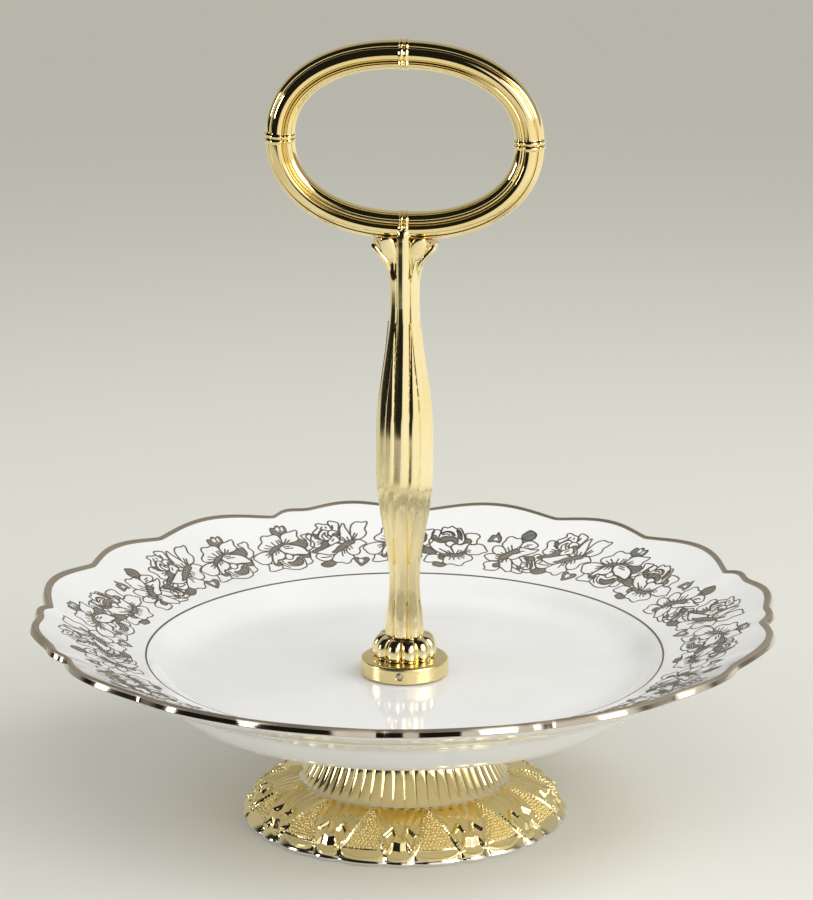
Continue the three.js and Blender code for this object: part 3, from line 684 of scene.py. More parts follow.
CLUSTERS = {
    "A": """
dark 52,25 34,19 12,3 -6,-13 -20,-32 -35,-43 -14,-43 8,-32 23,-17 41,-4 59,10
line 32,15 18,46
line 40,16 36,44
line 50,22 66,66
line 56,24 74,60
line 26,2 -6,10
line 4,-36 2,-72
line 12,-30 13,-56
line 38,-6 46,-28
line 28,-14 36,-36
petal 37,16 13,31 16,62 19,93 35,124 39,96 45,73 50,51 51,30
petal 50,30 51,64 55,94 64,116 78,127 98,123 112,127 108,104 101,84 105,63 97,44 80,28 63,27
petal 57,16 76,25 88,16 100,1 85,-11 71,-27 71,-47 59,-65 41,-68 27,-57 22,-38 26,-19 42,2
petal 11,-30 -12,-45 -34,-70 -43,-90 -27,-108 -10,-108 5,-119 22,-114 29,-99 45,-80 31,-60 22,-40
petal 15,1 -1,15 -20,4 -41,-8 -61,-20 -90,-36 -70,-47 -46,-57 -29,-56 -6,-43 12,-20
line -26,42 -36,62 -32,78
line -42,36 -48,56 -36,76
line -32,52 -24,64
line -20,22 -10,38
petal 8,20 6,39 -2,53 -11,55 -21,40 -35,23 -30,2 -16,5 -4,15
petal -16,43 -26,65 -22,83 -36,92 -49,80 -59,63 -60,45 -45,32 -30,31
dark -40,27 -34,4 -47,-10 -70,-24 -98,-39 -106,-32 -83,-13 -63,1 -53,25
dark 5,50 13,63 3,70 -9,64 -11,55
petal 9,37 14,64 5,80 -9,87 -21,82 -25,64 -14,52 1,46
line -4,94 -2,116
petal -6,86 -9,107 -14,121 -10,139 4,135 18,127 17,103 12,82 6,74
line -46,96 -36,110
line -24,98 -26,110
petal -22,84 -40,95 -50,84 -62,67 -75,77 -62,94 -52,107 -57,122 -46,129 -30,121 -16,120 -10,105
 -6,90
line -58,16 -74,12
line -54,24 -74,26
line -56,34 -76,50
dark -48,34 -54,52 -69,65 -80,69 -72,54 -58,36
petal -36,21 -50,33 -72,55 -80,74 -94,73 -103,58 -96,42 -94,25 -100,8 -85,-8 -60,-4 -44,7
line -40,-65 -60,-70 -82,-68
petal -31,-58 -50,-54 -70,-46 -81,-42 -99,-60 -94,-76 -76,-92 -50,-90 -36,-78
dark -33,-89 -54,-92 -74,-98 -94,-114 -85,-128 -64,-133 -43,-123 -30,-106
blank 60,-99 72,-100 74,-111 65,-117 59,-110
dark 44,-87 54,-83 63,-93 74,-90 90,-86 98,-94 88,-117 71,-133 60,-140 53,-125 44,-105""",
    "B": """
dark -50,-2 -40,10 -24,25 0,32 16,40 27,44 8,26 -10,13 -21,5 -36,-7 -50,-17
line -26,24 -48,42
line -34,16 -58,26
line -14,29 -22,54
line 0,32 -2,60
line 10,36 7,62
line 23,40 36,62
line 30,39 46,54
line -48,-6 -72,-16
line -48,-12 -68,-30
line -24,2 -32,-24
line -16,8 -18,-16
line 8,18 34,17
line 12,8 44,6
petal -36,9 -60,10 -77,18 -78,35 -66,48 -53,60 -50,81 -38,94 -20,89 -4,93 12,86 16,67 15,48 6,32
 -14,24
petal 16,42 16,64 21,80 40,94 60,98 82,104 82,90 76,72 79,54 66,42 44,37 26,36
petal 8,26 -5,18 -6,2 2,-14 16,-24 30,-33 50,-34 70,-39 90,-38 86,-16 81,-2 66,14 44,24 26,29
petal -14,14 -10,0 0,-16 1,-32 -10,-46 -24,-53 -36,-52 -44,-68 -54,-77 -57,-54 -50,-32 -40,-10 -26,8
dark 36,37 56,39 80,51 96,43 101,26 94,6 85,0 70,14 50,22
petal -46,-4 -66,5 -90,1 -106,-6 -124,-25 -117,-44 -106,-64 -84,-69 -64,-58 -56,-42 -51,-22
blank 17,116 23,129 28,115 23,108
blank 33,114 39,126 41,113 36,107
dark* -1,93 -3,110 3,129 14,125 24,139 34,128 46,135 50,116 46,98 30,92 16,84
petal 2,-27 15,-25 26,-36 23,-52 9,-60 -2,-52 -2,-39
dark 43,-36 66,-39 92,-38 97,-18 92,-46 81,-61 66,-55 56,-44
line 54,-44 42,-60 32,-68
line 59,-56 50,-68
dark -7,-73 10,-76 30,-66 43,-50 55,-68 49,-89 26,-96 3,-92
line -24,-60 -20,-80 -6,-96 20,-103 44,-96 56,-76
line -33,-64 -29,-88 -10,-108
petal -40,-58 -33,-80 -39,-104 -22,-114 -4,-122 20,-127 40,-122 56,-112 60,-94 62,-74 60,-52
 44,-38 20,-42 -4,-52 -24,-55
petal 60,-52 74,-42 90,-42 96,-30 90,-54 87,-70 90,-86 76,-99 60,-100 62,-80
dark -37,-62 -63,-70 -52,-89 -39,-84
petal -42,-70 -60,-72 -84,-68 -89,-88 -98,-112 -84,-117 -60,-113 -38,-106 -36,-90
petal 86,6 96,26 101,44 92,60 90,73 104,75 120,80 125,64 118,44 125,22 118,0 104,-13 92,-18""",
    "C": """
dark 22,-4 8,-1 0,-10 -12,-26 -26,-44 -36,-66 -32,-80 -18,-70 -4,-56 2,-42 12,-30 26,-20
line -2,-8 -14,20
line -10,-18 -22,4
line -22,-40 -38,-30
line -28,-50 -46,-40
line -32,-60 -52,-52
line -34,-70 -50,-66
line -26,-74 -30,-94
line -16,-68 -14,-92
line -6,-60 0,-84
line 16,-26 34,-18
line 24,-12 44,-6
petal 2,-5 -20,-26 -26,-12 -40,4 -47,20 -41,42 -38,62 -24,69 -8,60 8,62 18,48 21,28 14,8
petal 22,-6 22,10 40,12 66,7 92,13 84,-4 67,-20 50,-32 38,-44 30,-57 14,-64 -4,-58 -6,-44 8,-32
 24,-24
line 32,20 50,24
line 38,30 59,35
petal 20,16 22,36 34,51 50,56 66,48 81,34 68,14 46,12
dark* 10,67 7,84 14,97 24,113 36,108 49,98 54,78 48,62 36,53 22,60
dark 12,68 22,62 32,52 30,42 22,37 16,50
petal -20,-30 -40,-46 -56,-42 -66,-34 -73,-16 -70,2 -56,8 -40,4 -28,-10
petal -30,-54 -50,-44 -72,-42 -93,-58 -84,-72 -68,-85 -46,-84 -30,-78
dark -26,-96 -44,-104 -40,-122 -24,-122 -17,-112
petal -28,-86 -50,-88 -72,-94 -83,-106 -77,-122 -70,-132 -74,-142 -50,-148 -26,-144 -14,-132
 -18,-114
petal -8,-66 -20,-86 -22,-108 -6,-124 10,-136 26,-146 39,-132 34,-114 26,-92 16,-72 4,-62
line 84,-90 76,-78 68,-84
petal 62,-76 74,-69 87,-86 82,-98 70,-106 62,-94
line 56,-46 82,-70 94,-102
petal 50,-38 70,-51 89,-70 101,-90 104,-105 94,-115 80,-112 70,-102 64,-80 53,-63 40,-46
dark 43,-41 64,-34 86,-30 102,-53 84,-56 64,-46
line 92,-56 110,-90 112,-116
petal 80,-34 97,-48 112,-70 125,-90 127,-114 116,-129 90,-132 80,-120 102,-114 106,-90 94,-64
dark 50,-100 70,-104 68,-124 58,-114
line 36,-110 64,-124
petal 18,-72 30,-88 50,-99 70,-105 66,-122 76,-132 90,-135 84,-144 56,-143 38,-136 34,-116
petal 86,-24 100,-12 117,-18 124,-36 132,-52 118,-66 100,-58
blank -82,38 -77,54 -70,42
dark -100,26 -98,46 -90,68 -82,64 -76,86 -70,70 -62,60 -58,40 -60,24 -74,32 -86,28""",
    "D": """
dark -56,-66 -30,-63 -10,-66 1,-62 14,-59 34,-50 38,-40 39,-59 16,-75 0,-83 -20,-77 -40,-75
line -6,-62 -26,-42
line -10,-64 -42,-44
line -16,-65 -58,-32
line 9,-60 15,-34
line 19,-56 26,-36
line 28,-52 33,-42
line 24,-68 44,-74
line 18,-72 44,-86
line 12,-74 28,-94
line 3,-78 6,-100
line -8,-78 -12,-100
petal -2,-58 -12,-36 -20,-20 -36,-10 -38,2 -60,4 -78,14 -94,25 -97,4 -90,-20 -72,-44 -50,-59 -26,-65
petal 2,-60 -8,-38 -16,-20 -12,-8 2,-1 16,-5 30,6 45,9 42,-10 38,-30 32,-47 18,-56
petal -18,-18 -34,-10 -39,2 -32,13 -16,14 -6,4 -12,-6
dark -59,20 -56,34 -40,42 -20,43 -6,35 4,12 -4,3 -16,17 -34,15 -46,8
line* -58,52 -44,66 -26,62 -16,44
line* -54,48 -40,56 -28,50
line* -58,59 -42,71 -22,67 -10,46
line* -9,86 3,62 9,26
line* -3,84 10,58 16,20
line* -10,80 -2,56 2,30
petal* -62,20 -61,60 -51,95 -41,89 -27,101 -12,88 -2,93 12,72 22,46 26,14 14,-2 -4,8 -20,16 -40,14
dark -90,22 -86,46 -76,44 -69,23 -59,26 -49,16 -38,3 -60,5
petal -62,12 -61,50 -64,74 -80,77 -89,60 -90,36 -92,24 -76,14
dark 24,14 24,32 38,35 51,20 46,4 32,10
petal 44,16 28,40 26,64 46,67 68,62 75,48 68,30 70,8 50,2
line 46,-32 60,-36
line 46,-42 60,-46
petal 44,0 42,-20 42,-42 50,-58 74,-59 94,-55 104,-44 120,-34 110,-18 97,2 80,8 60,0
petal 36,-60 54,-62 73,-76 75,-90 60,-104 48,-115 44,-131 24,-133 0,-126 -18,-129 -32,-120
 -34,-100 -30,-80 -10,-76 16,-68
dark -34,-81 -56,-77 -50,-96 -36,-100
petal -34,-80 -56,-70 -80,-69 -98,-76 -104,-95 -109,-112 -88,-120 -60,-115 -36,-120 -32,-100
dark -120,-6 -114,-21 -95,-24 -80,-43 -63,-58 -74,-67 -100,-65 -116,-60 -119,-30
dark -70,-121 -50,-121 -34,-124 -18,-129 -23,-140 -40,-148 -56,-144 -70,-139""",
}


def inside(points, outline):
    """Which points lie inside a closed outline."""
    within = np.zeros(len(points), bool)
    previous = outline[-1]
    for corner in outline:
        crosses = (corner[1] > points[:, 1]) != (previous[1] > points[:, 1])
        rise = previous[1] - corner[1]
        run = (previous[0] - corner[0]) * (points[:, 1] - corner[1]) / (rise if rise else 1)
        within ^= crosses & (points[:, 0] < corner[0] + run)
        previous = corner
    return within


def dense(line, gap):
    """A line with points no further apart than a gap."""
    marks = run_lengths(line)
    count = max(2, int(math.ceil(marks[-1] / gap)) + 1)
    return along_line(line, marks, np.linspace(0, marks[-1], count))


def kept_runs(line, fronts, gap, within=None):
    """The stretches of a line that no outline in front covers, and that lie
    within an outline if one is given."""
    line = dense(line, HIDING_STEP)
    kept = np.ones(len(line), bool) if within is None else inside(line, within)
    for front in fronts:
        kept &= ~inside(line, front)
    changes = np.flatnonzero(np.diff(np.concatenate([[False], kept, [False]]).astype(int)))
    runs = zip(changes[::2], changes[1::2])
    return [dense(line[start:end], gap) for start, end in runs if end - start > SHORTEST_RUN]


def hatch(outline, fronts):
    """Close parallel lines that fill the part of an outline that shows."""
    low, high = outline.min(axis=0), outline.max(axis=0)
    runs = []
    for height in np.arange(low[1] + HATCH_PITCH / 2, high[1], HATCH_PITCH):
        line = np.array([[low[0] - 0.1, height], [high[0] + 0.1, height]])
        runs.extend(kept_runs(line, fronts, HATCH_STEP, outline))
    return runs


def motif_lines(drawing):
    """(line, starred) pairs of a drawing, with its hidden lines left out."""
    shapes = []
    for word in drawing.split():
        if word[0].isalpha():
            shapes.append((word, []))
        else:
            shapes[-1][1].append([int(value) / DRAWING_STEPS for value in word.split(",")])
    lines = []
    fronts = []
    for kind, points in shapes:
        if kind.startswith("line"):
            drawn = kept_runs(smooth(points, 3), fronts, PRINT_STEP)
        else:
            outline = smooth(points[-2:] + points + points[:2], 4)[8:-4]
            drawn = [] if kind == "blank" else kept_runs(outline, fronts, PRINT_STEP)
            if kind.startswith("dark"):
                drawn += hatch(outline, fronts)
            fronts.append(outline)
        lines.extend((run, kind.endswith("*")) for run in drawn)
    return lines


def ribbon(line, centre_turn):
    """A printed line of a drawing as a thin closed ribbon, set on the rim about
    a cluster's turn."""
    way = np.gradient(line, axis=0)
    way /= np.linalg.norm(way, axis=1)[:, None] + 1e-9
    side = np.stack([-way[:, 1], way[:, 0]], -1) * PRINT_LINE / 2
    section = []
    for sign, rise in ((1, -PRINT_DEPTH), (-1, -PRINT_DEPTH), (-1, PRINT_RISE), (1, PRINT_RISE)):
        flat = line + sign * side
        radius = GARLAND_RADIUS + flat[:, 1] * GARLAND_RADIAL_SCALE
        section.append(on_rim(radius, centre_turn - flat[:, 0] / GARLAND_RADIUS, rise))
    vertices, faces = grid(np.stack(section, 1))
    last = len(vertices) - 4
    ends = [[0, 1, 2, 3], [last + 3, last + 2, last + 1, last]]
    return vertices, faces[:, ::-1].tolist() + ends


def garland():
    drawings = {letter: motif_lines(drawing) for letter, drawing in CLUSTERS.items()}
    printed = []
    polished = []
    for place, letter in enumerate(CLUSTER_ORDER):
        centre_turn = math.radians(np.interp(place, CLUSTER_MARKS, CLUSTER_DEGREES))
        for line, starred in drawings[letter]:
            dark = starred and place in DARK_CLUSTERS and line[:, 1].max() > DARK_ABOVE
            (polished if dark else printed).append(ribbon(line, centre_turn))
    make_piece("garland", joined(printed), "root", finish["platinum_print"])
    shape = joined(polished)
    make_piece("garland_polished_spots", shape, "root", finish["polished_print"])


# Foot

SKIRT_CURVE = smooth(SKIRT, 8)
SKIRT_MARKS = run_lengths(SKIRT_CURVE)
SKIRT_RUN = SKIRT_MARKS[-1]


def pair_share(turn):
    """Place within a pair of panels, 0 to 1, the stippled panel's lobe first."""
    return np.mod((turn - PANEL_TURN) / FULL_TURN * PANEL_PAIRS, 1)


def foot_scallop(turn):
    """How far the foot's edge stands back at a turn, as a negative length."""
    share = pair_share(turn)
    leaf_share = (share - STIPPLED_SHARE) / (1 - STIPPLED_SHARE)
    across = np.where(share < STIPPLED_SHARE, share / STIPPLED_SHARE, leaf_share)
    return FOOT_SCALLOP_DEPTH * (np.sin(math.pi * unit(across)) ** 0.6 - 1)


def ridge(distance, half_width, height):
    return height * unit(1 - np.abs(distance) / half_width) ** 0.8


def line_distance(x, y, line):
    """Distance of places from a line of points."""
    nearest = np.full(np.shape(x), np.inf)
    for (start_x, start_y), (end_x, end_y) in zip(line[:-1], line[1:]):
        run_x, run_y = end_x - start_x, end_y - start_y
        share = unit(((x - start_x) * run_x + (y - start_y) * run_y) / (run_x**2 + run_y**2))
        gap = np.hypot(x - start_x - share * run_x, y - start_y - share * run_y)
        nearest = np.minimum(nearest, gap)
    return nearest


def stippled_width(rise):
    """Width of a stippled panel, as a share of its width at the foot."""
    share = unit((rise - PANEL_FOOT) / (PANEL_HEAD - PANEL_FOOT))
    return 1 - (1 - PANEL_HEAD_SHARE) * share**0.7


def skirt_relief(share, rise, radius):
    """Height of the cast pattern over the skirt at a place within a pair of
    panels and a share of the way up."""
    pair_width = FULL_TURN * radius / PANEL_PAIRS
    above = (rise - PANEL_FOOT) * SKIRT_RUN
    aside = (np.mod(share - STIPPLED_SHARE / 2 + 0.5, 1) - 0.5) * pair_width
    leaf_x = (np.mod(share - STIPPLED_SHARE / 2, 1) - 0.5) * pair_width
    half = STIPPLED_SHARE / 2 * pair_width * stippled_width(rise)

    # A pillow on each lobe of the edge, and the crowned, raised-edged panels
    stippled = share < STIPPLED_SHARE
    lobe_half = np.where(stippled, STIPPLED_SHARE, 1 - STIPPLED_SHARE) / 2 * pair_width
    pillow = np.sqrt(unit(1 - (np.where(stippled, aside, leaf_x) / lobe_half) ** 2))
    height = PILLOW_HEIGHT * pillow * (1 - unit(rise / PANEL_FOOT) ** 3)
    crown = np.sqrt(unit(1 - (aside / np.maximum(half, 0.1)) ** 2))
    in_panel = (rise > PANEL_FOOT) & (rise < PANEL_HEAD)
    height = height + np.where(in_panel, PANEL_CROWN * crown, 0) - RELIEF_SINK
    edged = unit((rise - PANEL_FOOT / 2) / (PANEL_FOOT / 2))
    height = height + edged * ridge(np.abs(aside) - half, PANEL_EDGE_HALF_WIDTH, PANEL_EDGE_HEIGHT)

    # Two petals and a middle leaf between the panels, below a fan of lines
    side_x = np.abs(leaf_x)
    between = side_x < pair_width / 2 - half - 0.3
    petals = ridge(line_distance(side_x, above, PETAL), PETAL_HALF_WIDTH, PETAL_EDGE_HEIGHT)
    middle = np.interp(above - 0.4 * side_x, [-0.6, 2.6, 6], [0, MIDDLE_LEAF_HEIGHT, 0])
    reach = np.interp(above, [PETAL[0][1], PETAL[3][1]], [PETAL[0][0], PETAL[3][0]])
    leaves = np.maximum(petals, middle * (side_x < reach))
    height = height + np.where(between & (rise > PANEL_FOOT * 0.8), leaves, 0)
    lines = np.cos(np.arctan2(leaf_x, above) * FAN_LINES) ** 2
    fan = FAN_HEIGHT * lines * unit((np.hypot(leaf_x, above) - FAN_FROM) / 2)
    return height + np.where(between & (above > 2), fan, 0)


def on_skirt(rise):
    """Radius and height on the skirt's plain curve at a share of the way up."""
    return [np.interp(rise * SKIRT_RUN, SKIRT_MARKS, SKIRT_CURVE[:, axis]) for axis in (0, 1)]


def skirt_point(rise, turn, lift=0):
    """Point on the relief of the skirt, or lifted off it."""
    radius, height = on_skirt(rise)
    ahead = on_skirt(unit(rise + 0.01))
    behind = on_skirt(unit(rise - 0.01))
    way = np.stack([ahead[0] - behind[0], ahead[1] - behind[1]], -1)
    way /= np.linalg.norm(way, axis=-1)[..., None]
    raised = skirt_relief(pair_share(turn), rise, radius)
    raised = raised * unit(rise / 0.03) * unit((1 - rise) / 0.04) + lift
    scallop = foot_scallop(turn) * unit(1 - rise / PANEL_FOOT)
    return around_z(radius + scallop + way[..., 1] * raised, height - way[..., 0] * raised, turn)


def stipple_grains(random_source):
    """Small cast grains that fill the stippled panels, each two rings of points
    with a point on top and one below."""
    faces = []
    for first in range(GRAIN_SIDES):
        second = (first + 1) % GRAIN_SIDES
        faces.append([first, second, GRAIN_SIDES + second])
        faces.append([first, GRAIN_SIDES + second, GRAIN_SIDES + first])
        faces.append([GRAIN_SIDES + first, GRAIN_SIDES + second, 2 * GRAIN_SIDES])
        faces.append([second, first, 2 * GRAIN_SIDES + 1])
    counts = [GRAIN_SIDES, GRAIN_SIDES, 1, 1]
    spread = np.repeat([1.0, 0.7, 0.0, 0.0], counts)
    lift = np.repeat([-0.15, 0.5, 0.85, -0.2], counts)
    around = even_turns(GRAIN_SIDES)
    angle = np.concatenate([around, around, [0, 0]])
    rows = int((PANEL_HEAD - PANEL_FOOT) * SKIRT_RUN / GRAIN_ROW_STEP)
    parts = []
    for pair in range(PANEL_PAIRS):
        middle = PANEL_TURN + (pair + STIPPLED_SHARE / 2) * FULL_TURN / PANEL_PAIRS
        for row in range(rows):
            row_rise = PANEL_FOOT + (row + GRAIN_FIRST_ROW) * GRAIN_ROW_STEP / SKIRT_RUN
            radius = on_skirt(row_rise)[0]
            half = STIPPLED_SHARE / 2 * FULL_TURN * radius / PANEL_PAIRS
            half = half * stippled_width(row_rise) - GRAIN_MARGIN
            for place in range(-GRAINS_ASIDE, GRAINS_ASIDE + 1):
                jitter = random_source.uniform(-GRAIN_JITTER, GRAIN_JITTER)
                aside = (place + 0.5 * (row % 2)) * GRAIN_PITCH + jitter
                if abs(aside) > half:
                    continue
                rise = row_rise + random_source.uniform(-GRAIN_JITTER, GRAIN_JITTER) / SKIRT_RUN
                size = random_source.uniform(*GRAIN_SIZES) * spread
                turn = middle + (aside + size * np.cos(angle)) / radius
                parts.append((skirt_point(rise + size * np.sin(angle) / SKIRT_RUN, turn, lift), faces))
    return parts


def add_wear(piece):
    """Marks where the foot's plating is thin: its edge and the neck's joint."""
    mesh = piece.data
    places = np.zeros(len(mesh.vertices) * 3)
    mesh.vertices.foreach_get("co", places)
    x, y, z = places.reshape(-1, 3).T / METRES
    radius = np.hypot(x, y)
    edge = unit(1 - (z - 1.0) / 0.9) * (radius > 50)
    joint = unit(1 - np.abs(radius - JOINT_RADIUS) / 0.6) * (np.abs(z - JOINT_HEIGHT) < 2)
    wear = mesh.attributes.new("wear", "FLOAT", "POINT")
    wear.data.foreach_set("value", np.maximum(edge, joint * 0.7))


def foot():
    turns = even_turns(PANEL_PAIRS * PAIR_COLUMNS)
    radius, height, turn = swept(smooth(FOOT_EDGE_LINE, 3), turns)
    radius = radius + foot_scallop(turn) * unit((radius - FOOT_EDGE_INNER) / FOOT_WALL)
    edge = around_z(radius, np.maximum(height, 0), turn)
    skirt = skirt_point(*np.meshgrid(np.linspace(0, 1, SKIRT_ROWS), turns, indexing="ij"))
    radius, height, turn = swept(smooth(NECK, 2), turns)
    fade = unit((height - NECK[0][1]) / 0.9) * unit((CROWN_TOP - 1 - height) / 3)
    across = np.mod(NECK_RIBS * turn / FULL_TURN, 1) * 2 - 1
    neck = around_z(radius - NECK_RIB_DEPTH * rounded(across, NECK_RIB_FULLNESS) * fade, height, turn)
    inner = around_z(*swept(CROWN + HOLLOW, turns))
    body = grid(np.concatenate([edge, skirt, neck, inner]), close_rows=True)
    add_wear(make_piece("foot_casting", body, "root", worn_gold, ["foot"], crease=55))
    grains = joined(stipple_grains(random.Random(7)))
    add_wear(make_piece("foot_grains", grains, "root", worn_gold, crease=80))


# Ring


def oval_centre(angle):
    """Point of the ring's centre line at an angle from +X."""
    point = np.stack([np.cos(angle), np.sin(angle)], -1)
    halves = np.array([RING_WIDTH - RING_BAR_WIDTH, RING_HEIGHT - RING_BAR_WIDTH]) / 2
    return np.sign(point) * np.abs(point) ** (2 / RING_SQUARENESS) * halves


def ring_stations():
    """Centre line points at even steps, closer at the four cross bands, with
    the distance of each from the nearest band."""
    fine = oval_centre(np.linspace(0, FULL_TURN, 8001))
    marks = run_lengths(fine)
    quarter = marks[-1] / 4
    near = np.linspace(-BAND_REACH, BAND_REACH, BAND_ROWS)
    between = np.linspace(BAND_REACH, quarter - BAND_REACH, BETWEEN_ROWS)[1:-1]
    places = np.concatenate([np.concatenate([near, between]) + step * quarter for step in range(4)])
    places = np.mod(places, marks[-1])
    offsets = np.mod(places + quarter / 2, quarter) - quarter / 2
    return along_line(fine, marks, places), offsets


def reed_depth(degrees):
    """Depth of the bar's surface below its round, at a turn round its section
    from the outer edge."""
    depth = np.zeros_like(degrees)
    for start, end, _ in REEDS:
        within = (degrees >= start) & (degrees <= end)
        across = np.clip((degrees - start) / (end - start) * 2 - 1, -1, 1)
        scale = min(1.0, (end - start) / WIDE_REED)
        drop = scale * rounded(across, REED_FULLNESS) + NARROW_REED_DROP * (1 - scale)
        nearest = np.minimum(np.abs(degrees - start), np.abs(degrees - end))
        groove = GROOVE_DEPTH * unit(1 - nearest / GROOVE_HALF_DEGREES)
        depth = np.where(within, REED_DEPTH * drop, depth) + np.where(within, groove, 0)
    return depth


def ring():
    points, offsets = ring_stations()
    along = np.roll(points, -1, axis=0) - np.roll(points, 1, axis=0)
    along /= np.linalg.norm(along, axis=1)[:, None]
    outward = np.stack([along[:, 1], -along[:, 0]], -1)
    parts = []
    for start, end, count in REEDS:
        parts.append(start + (end - start) * (1 - np.cos(np.arange(count) / count * math.pi)) / 2)
    degrees = np.concatenate(parts)[None, :]
    ridges = np.abs(np.sin(math.pi * offsets / BAND_RIDGE)) * (np.abs(offsets) < BAND_RIDGE)
    ridges = ridges[:, None]
    grown = BAND_RISE * ridges - reed_depth(degrees) * (1 - BAND_REED_FADE * ridges)
    half = (RING_BAR_WIDTH / 2 + grown) * np.cos(np.radians(degrees))
    depth = (RING_BAR_DEPTH / 2 + grown) * np.sin(np.radians(degrees))
    x = points[:, 0, None] + outward[:, 0, None] * half
    z = RING_CENTRE + points[:, 1, None] + outward[:, 1, None] * half
    shape = grid(np.stack([x, -depth, z], -1), close_rows=True)
    gold = finish["gold_plate"]
    make_piece("carrying_ring", shape, "handle", gold, ["handle_ring"], crease=50)


# Stem


def eased(height, start, end, low, high):
    share = unit((height - start) / (end - start))
    return low + (high - low) * (1 - np.cos(share * math.pi)) / 2


def stem_half_width(above):
    """Half the stem's width at a height above the collar."""
    lower = eased(above, GADROON_HEIGHT, LOWER_NECK_FROM, STEM_BASE_RADIUS, NECK_RADIUS)
    rising = eased(above, LOWER_NECK_TO, SWELL_FROM, NECK_RADIUS, SWELL_RADIUS)
    falling = eased(above, SWELL_TO, NECK_TOP, SWELL_RADIUS, NECK_RADIUS)
    flare = unit((above - NECK_TOP) / UPPER_NECK_DROP) ** CAPITAL_FLARE
    capital = NECK_RADIUS + (CAPITAL_HALF_WIDTH - NECK_RADIUS) * flare
    stretches = [above <= LOWER_NECK_TO, above <= SWELL_TO, above <= NECK_TOP]
    return np.select(stretches, [lower, rising, falling], capital)


def flute_depth(radius, above, turn):
    """Ribs of one width run the stem's length and touch at the necks. At the
    swell, pointed petals with a centre crease fill the gaps."""
    lean = eased(above, LOWER_NECK_TO, SWELL_TO, RIB_LEAN, 0)
    pitch = FULL_TURN / RIB_COUNT
    aside = np.abs(np.mod(turn - lean + pitch / 2, pitch) - pitch / 2)
    rib_half = np.minimum(pitch / 2, RIB_HALF_WIDTH / radius)
    on_rib = aside <= rib_half
    gap = np.maximum(pitch / 2 - rib_half, 1e-6)
    across = unit(np.where(on_rib, aside / rib_half, (pitch / 2 - aside) / gap))
    bend = (1 - RIB_RIDGE_SHARE) * rounded(across, RIB_FULLNESS)
    line = RIB_LINE_DEPTH * unit(1 - np.abs(across - RIB_LINE_PLACE) / RIB_LINE_WIDTH) * on_rib
    crease = CREASE_DEPTH * unit(1 - across / CREASE_WIDTH) * ~on_rib * unit(gap * radius / 2)
    return FLUTE_DEPTH * (RIB_RIDGE_SHARE * across + bend) + line + crease


def gadroon_radius(above, turn):
    """A ring of upright lobes, each with a small foot below a groove."""
    bulb = unit((above - GADROON_FOOT_HEIGHT) / (GADROON_HEIGHT - GADROON_FOOT_HEIGHT))
    swell = np.sqrt(unit(1 - ((bulb - GADROON_WIDEST) / GADROON_SPAN) ** 2))
    upper = STEM_BASE_RADIUS + (GADROON_RADIUS - STEM_BASE_RADIUS) * swell
    foot_bend = np.sin(math.pi * (0.25 + 0.75 * unit(above / GADROON_FOOT_HEIGHT)))
    lower = GADROON_FOOT_RADIUS + GADROON_FOOT_SWELL * foot_bend
    radius = np.where(above < GADROON_FOOT_HEIGHT, lower, upper)
    across = np.mod(turn * GADROON_COUNT / FULL_TURN, 1) * 2 - 1
    return radius * (1 - GADROON_DEPTH * rounded(across, GADROON_FULLNESS))


def stem_body():
    base = np.linspace(0, GADROON_HEIGHT, GADROON_ROWS)
    shaft = np.linspace(GADROON_HEIGHT, NECK_TOP, SHAFT_ROWS)[1:]
    head = np.linspace(NECK_TOP, STEM_LENGTH, CAPITAL_ROWS)[1:]
    rows = np.concatenate([base, shaft, head])
    above, turn = np.meshgrid(rows, even_turns(STEM_COLUMNS), indexing="ij")
    plain = stem_half_width(above)
    fluted = plain - flute_depth(plain, above, turn)
    radius = np.where(above < GADROON_HEIGHT, gadroon_radius(above, turn), fluted)
    flat = np.minimum(1, CAPITAL_HALF_DEPTH / np.maximum(plain, 0.1))
    flattened = eased(above, STEM_LENGTH - CAPITAL_DROP, STEM_LENGTH - CAPITAL_DROP / 2, 0, 1)
    points = around_z(radius, STEM_FOOT + above, turn)
    points[..., 1] *= 1 + (flat - 1) * flattened
    return capped(points, [0, 0, STEM_FOOT], [0, 0, RING_BOTTOM])


def tube(path, radii, sides=16):
    """A closed tube with round ends along a path of points."""
    way = np.gradient(path, axis=0)
    way /= np.linalg.norm(way, axis=1)[:, None]
    across = np.cross(way, np.array([0, 1.0, 0]))
    across /= np.linalg.norm(across, axis=1)[:, None]
    other = np.cross(across, way)
    angle = even_turns(sides)[None, :, None]
    spokes = across[:, None] * np.cos(angle) + other[:, None] * np.sin(angle)
    return capped(path[:, None] + radii[:, None, None] * spokes, path[0], path[-1])


def tongue(side, front, rows=20, columns=28):
    """A raised tongue with a flat face, leaning sideways and forwards from its
    round lower end."""
    latitude = np.linspace(-math.pi / 2, math.pi / 2, rows)
    latitude, turn = np.meshgrid(latitude, even_turns(columns), indexing="ij")
    width = np.abs(np.cos(latitude)) ** 0.6
    depth = np.abs(np.cos(latitude)) ** 0.2 * np.sign(np.cos(turn)) * np.abs(np.cos(turn)) ** 0.5
    up = np.sin(latitude)
    half_width, half_depth, half_height = TONGUE_SIZE
    x = side * TONGUE_PLACE[0] + half_width * width * np.sin(turn) + side * TONGUE_LEAN[0] * up
    y = front * TONGUE_PLACE[1] - half_depth * depth + front * TONGUE_LEAN[1] * up
    return grid(np.stack([x, y, RING_BOTTOM + TONGUE_PLACE[2] + half_height * up], -1))


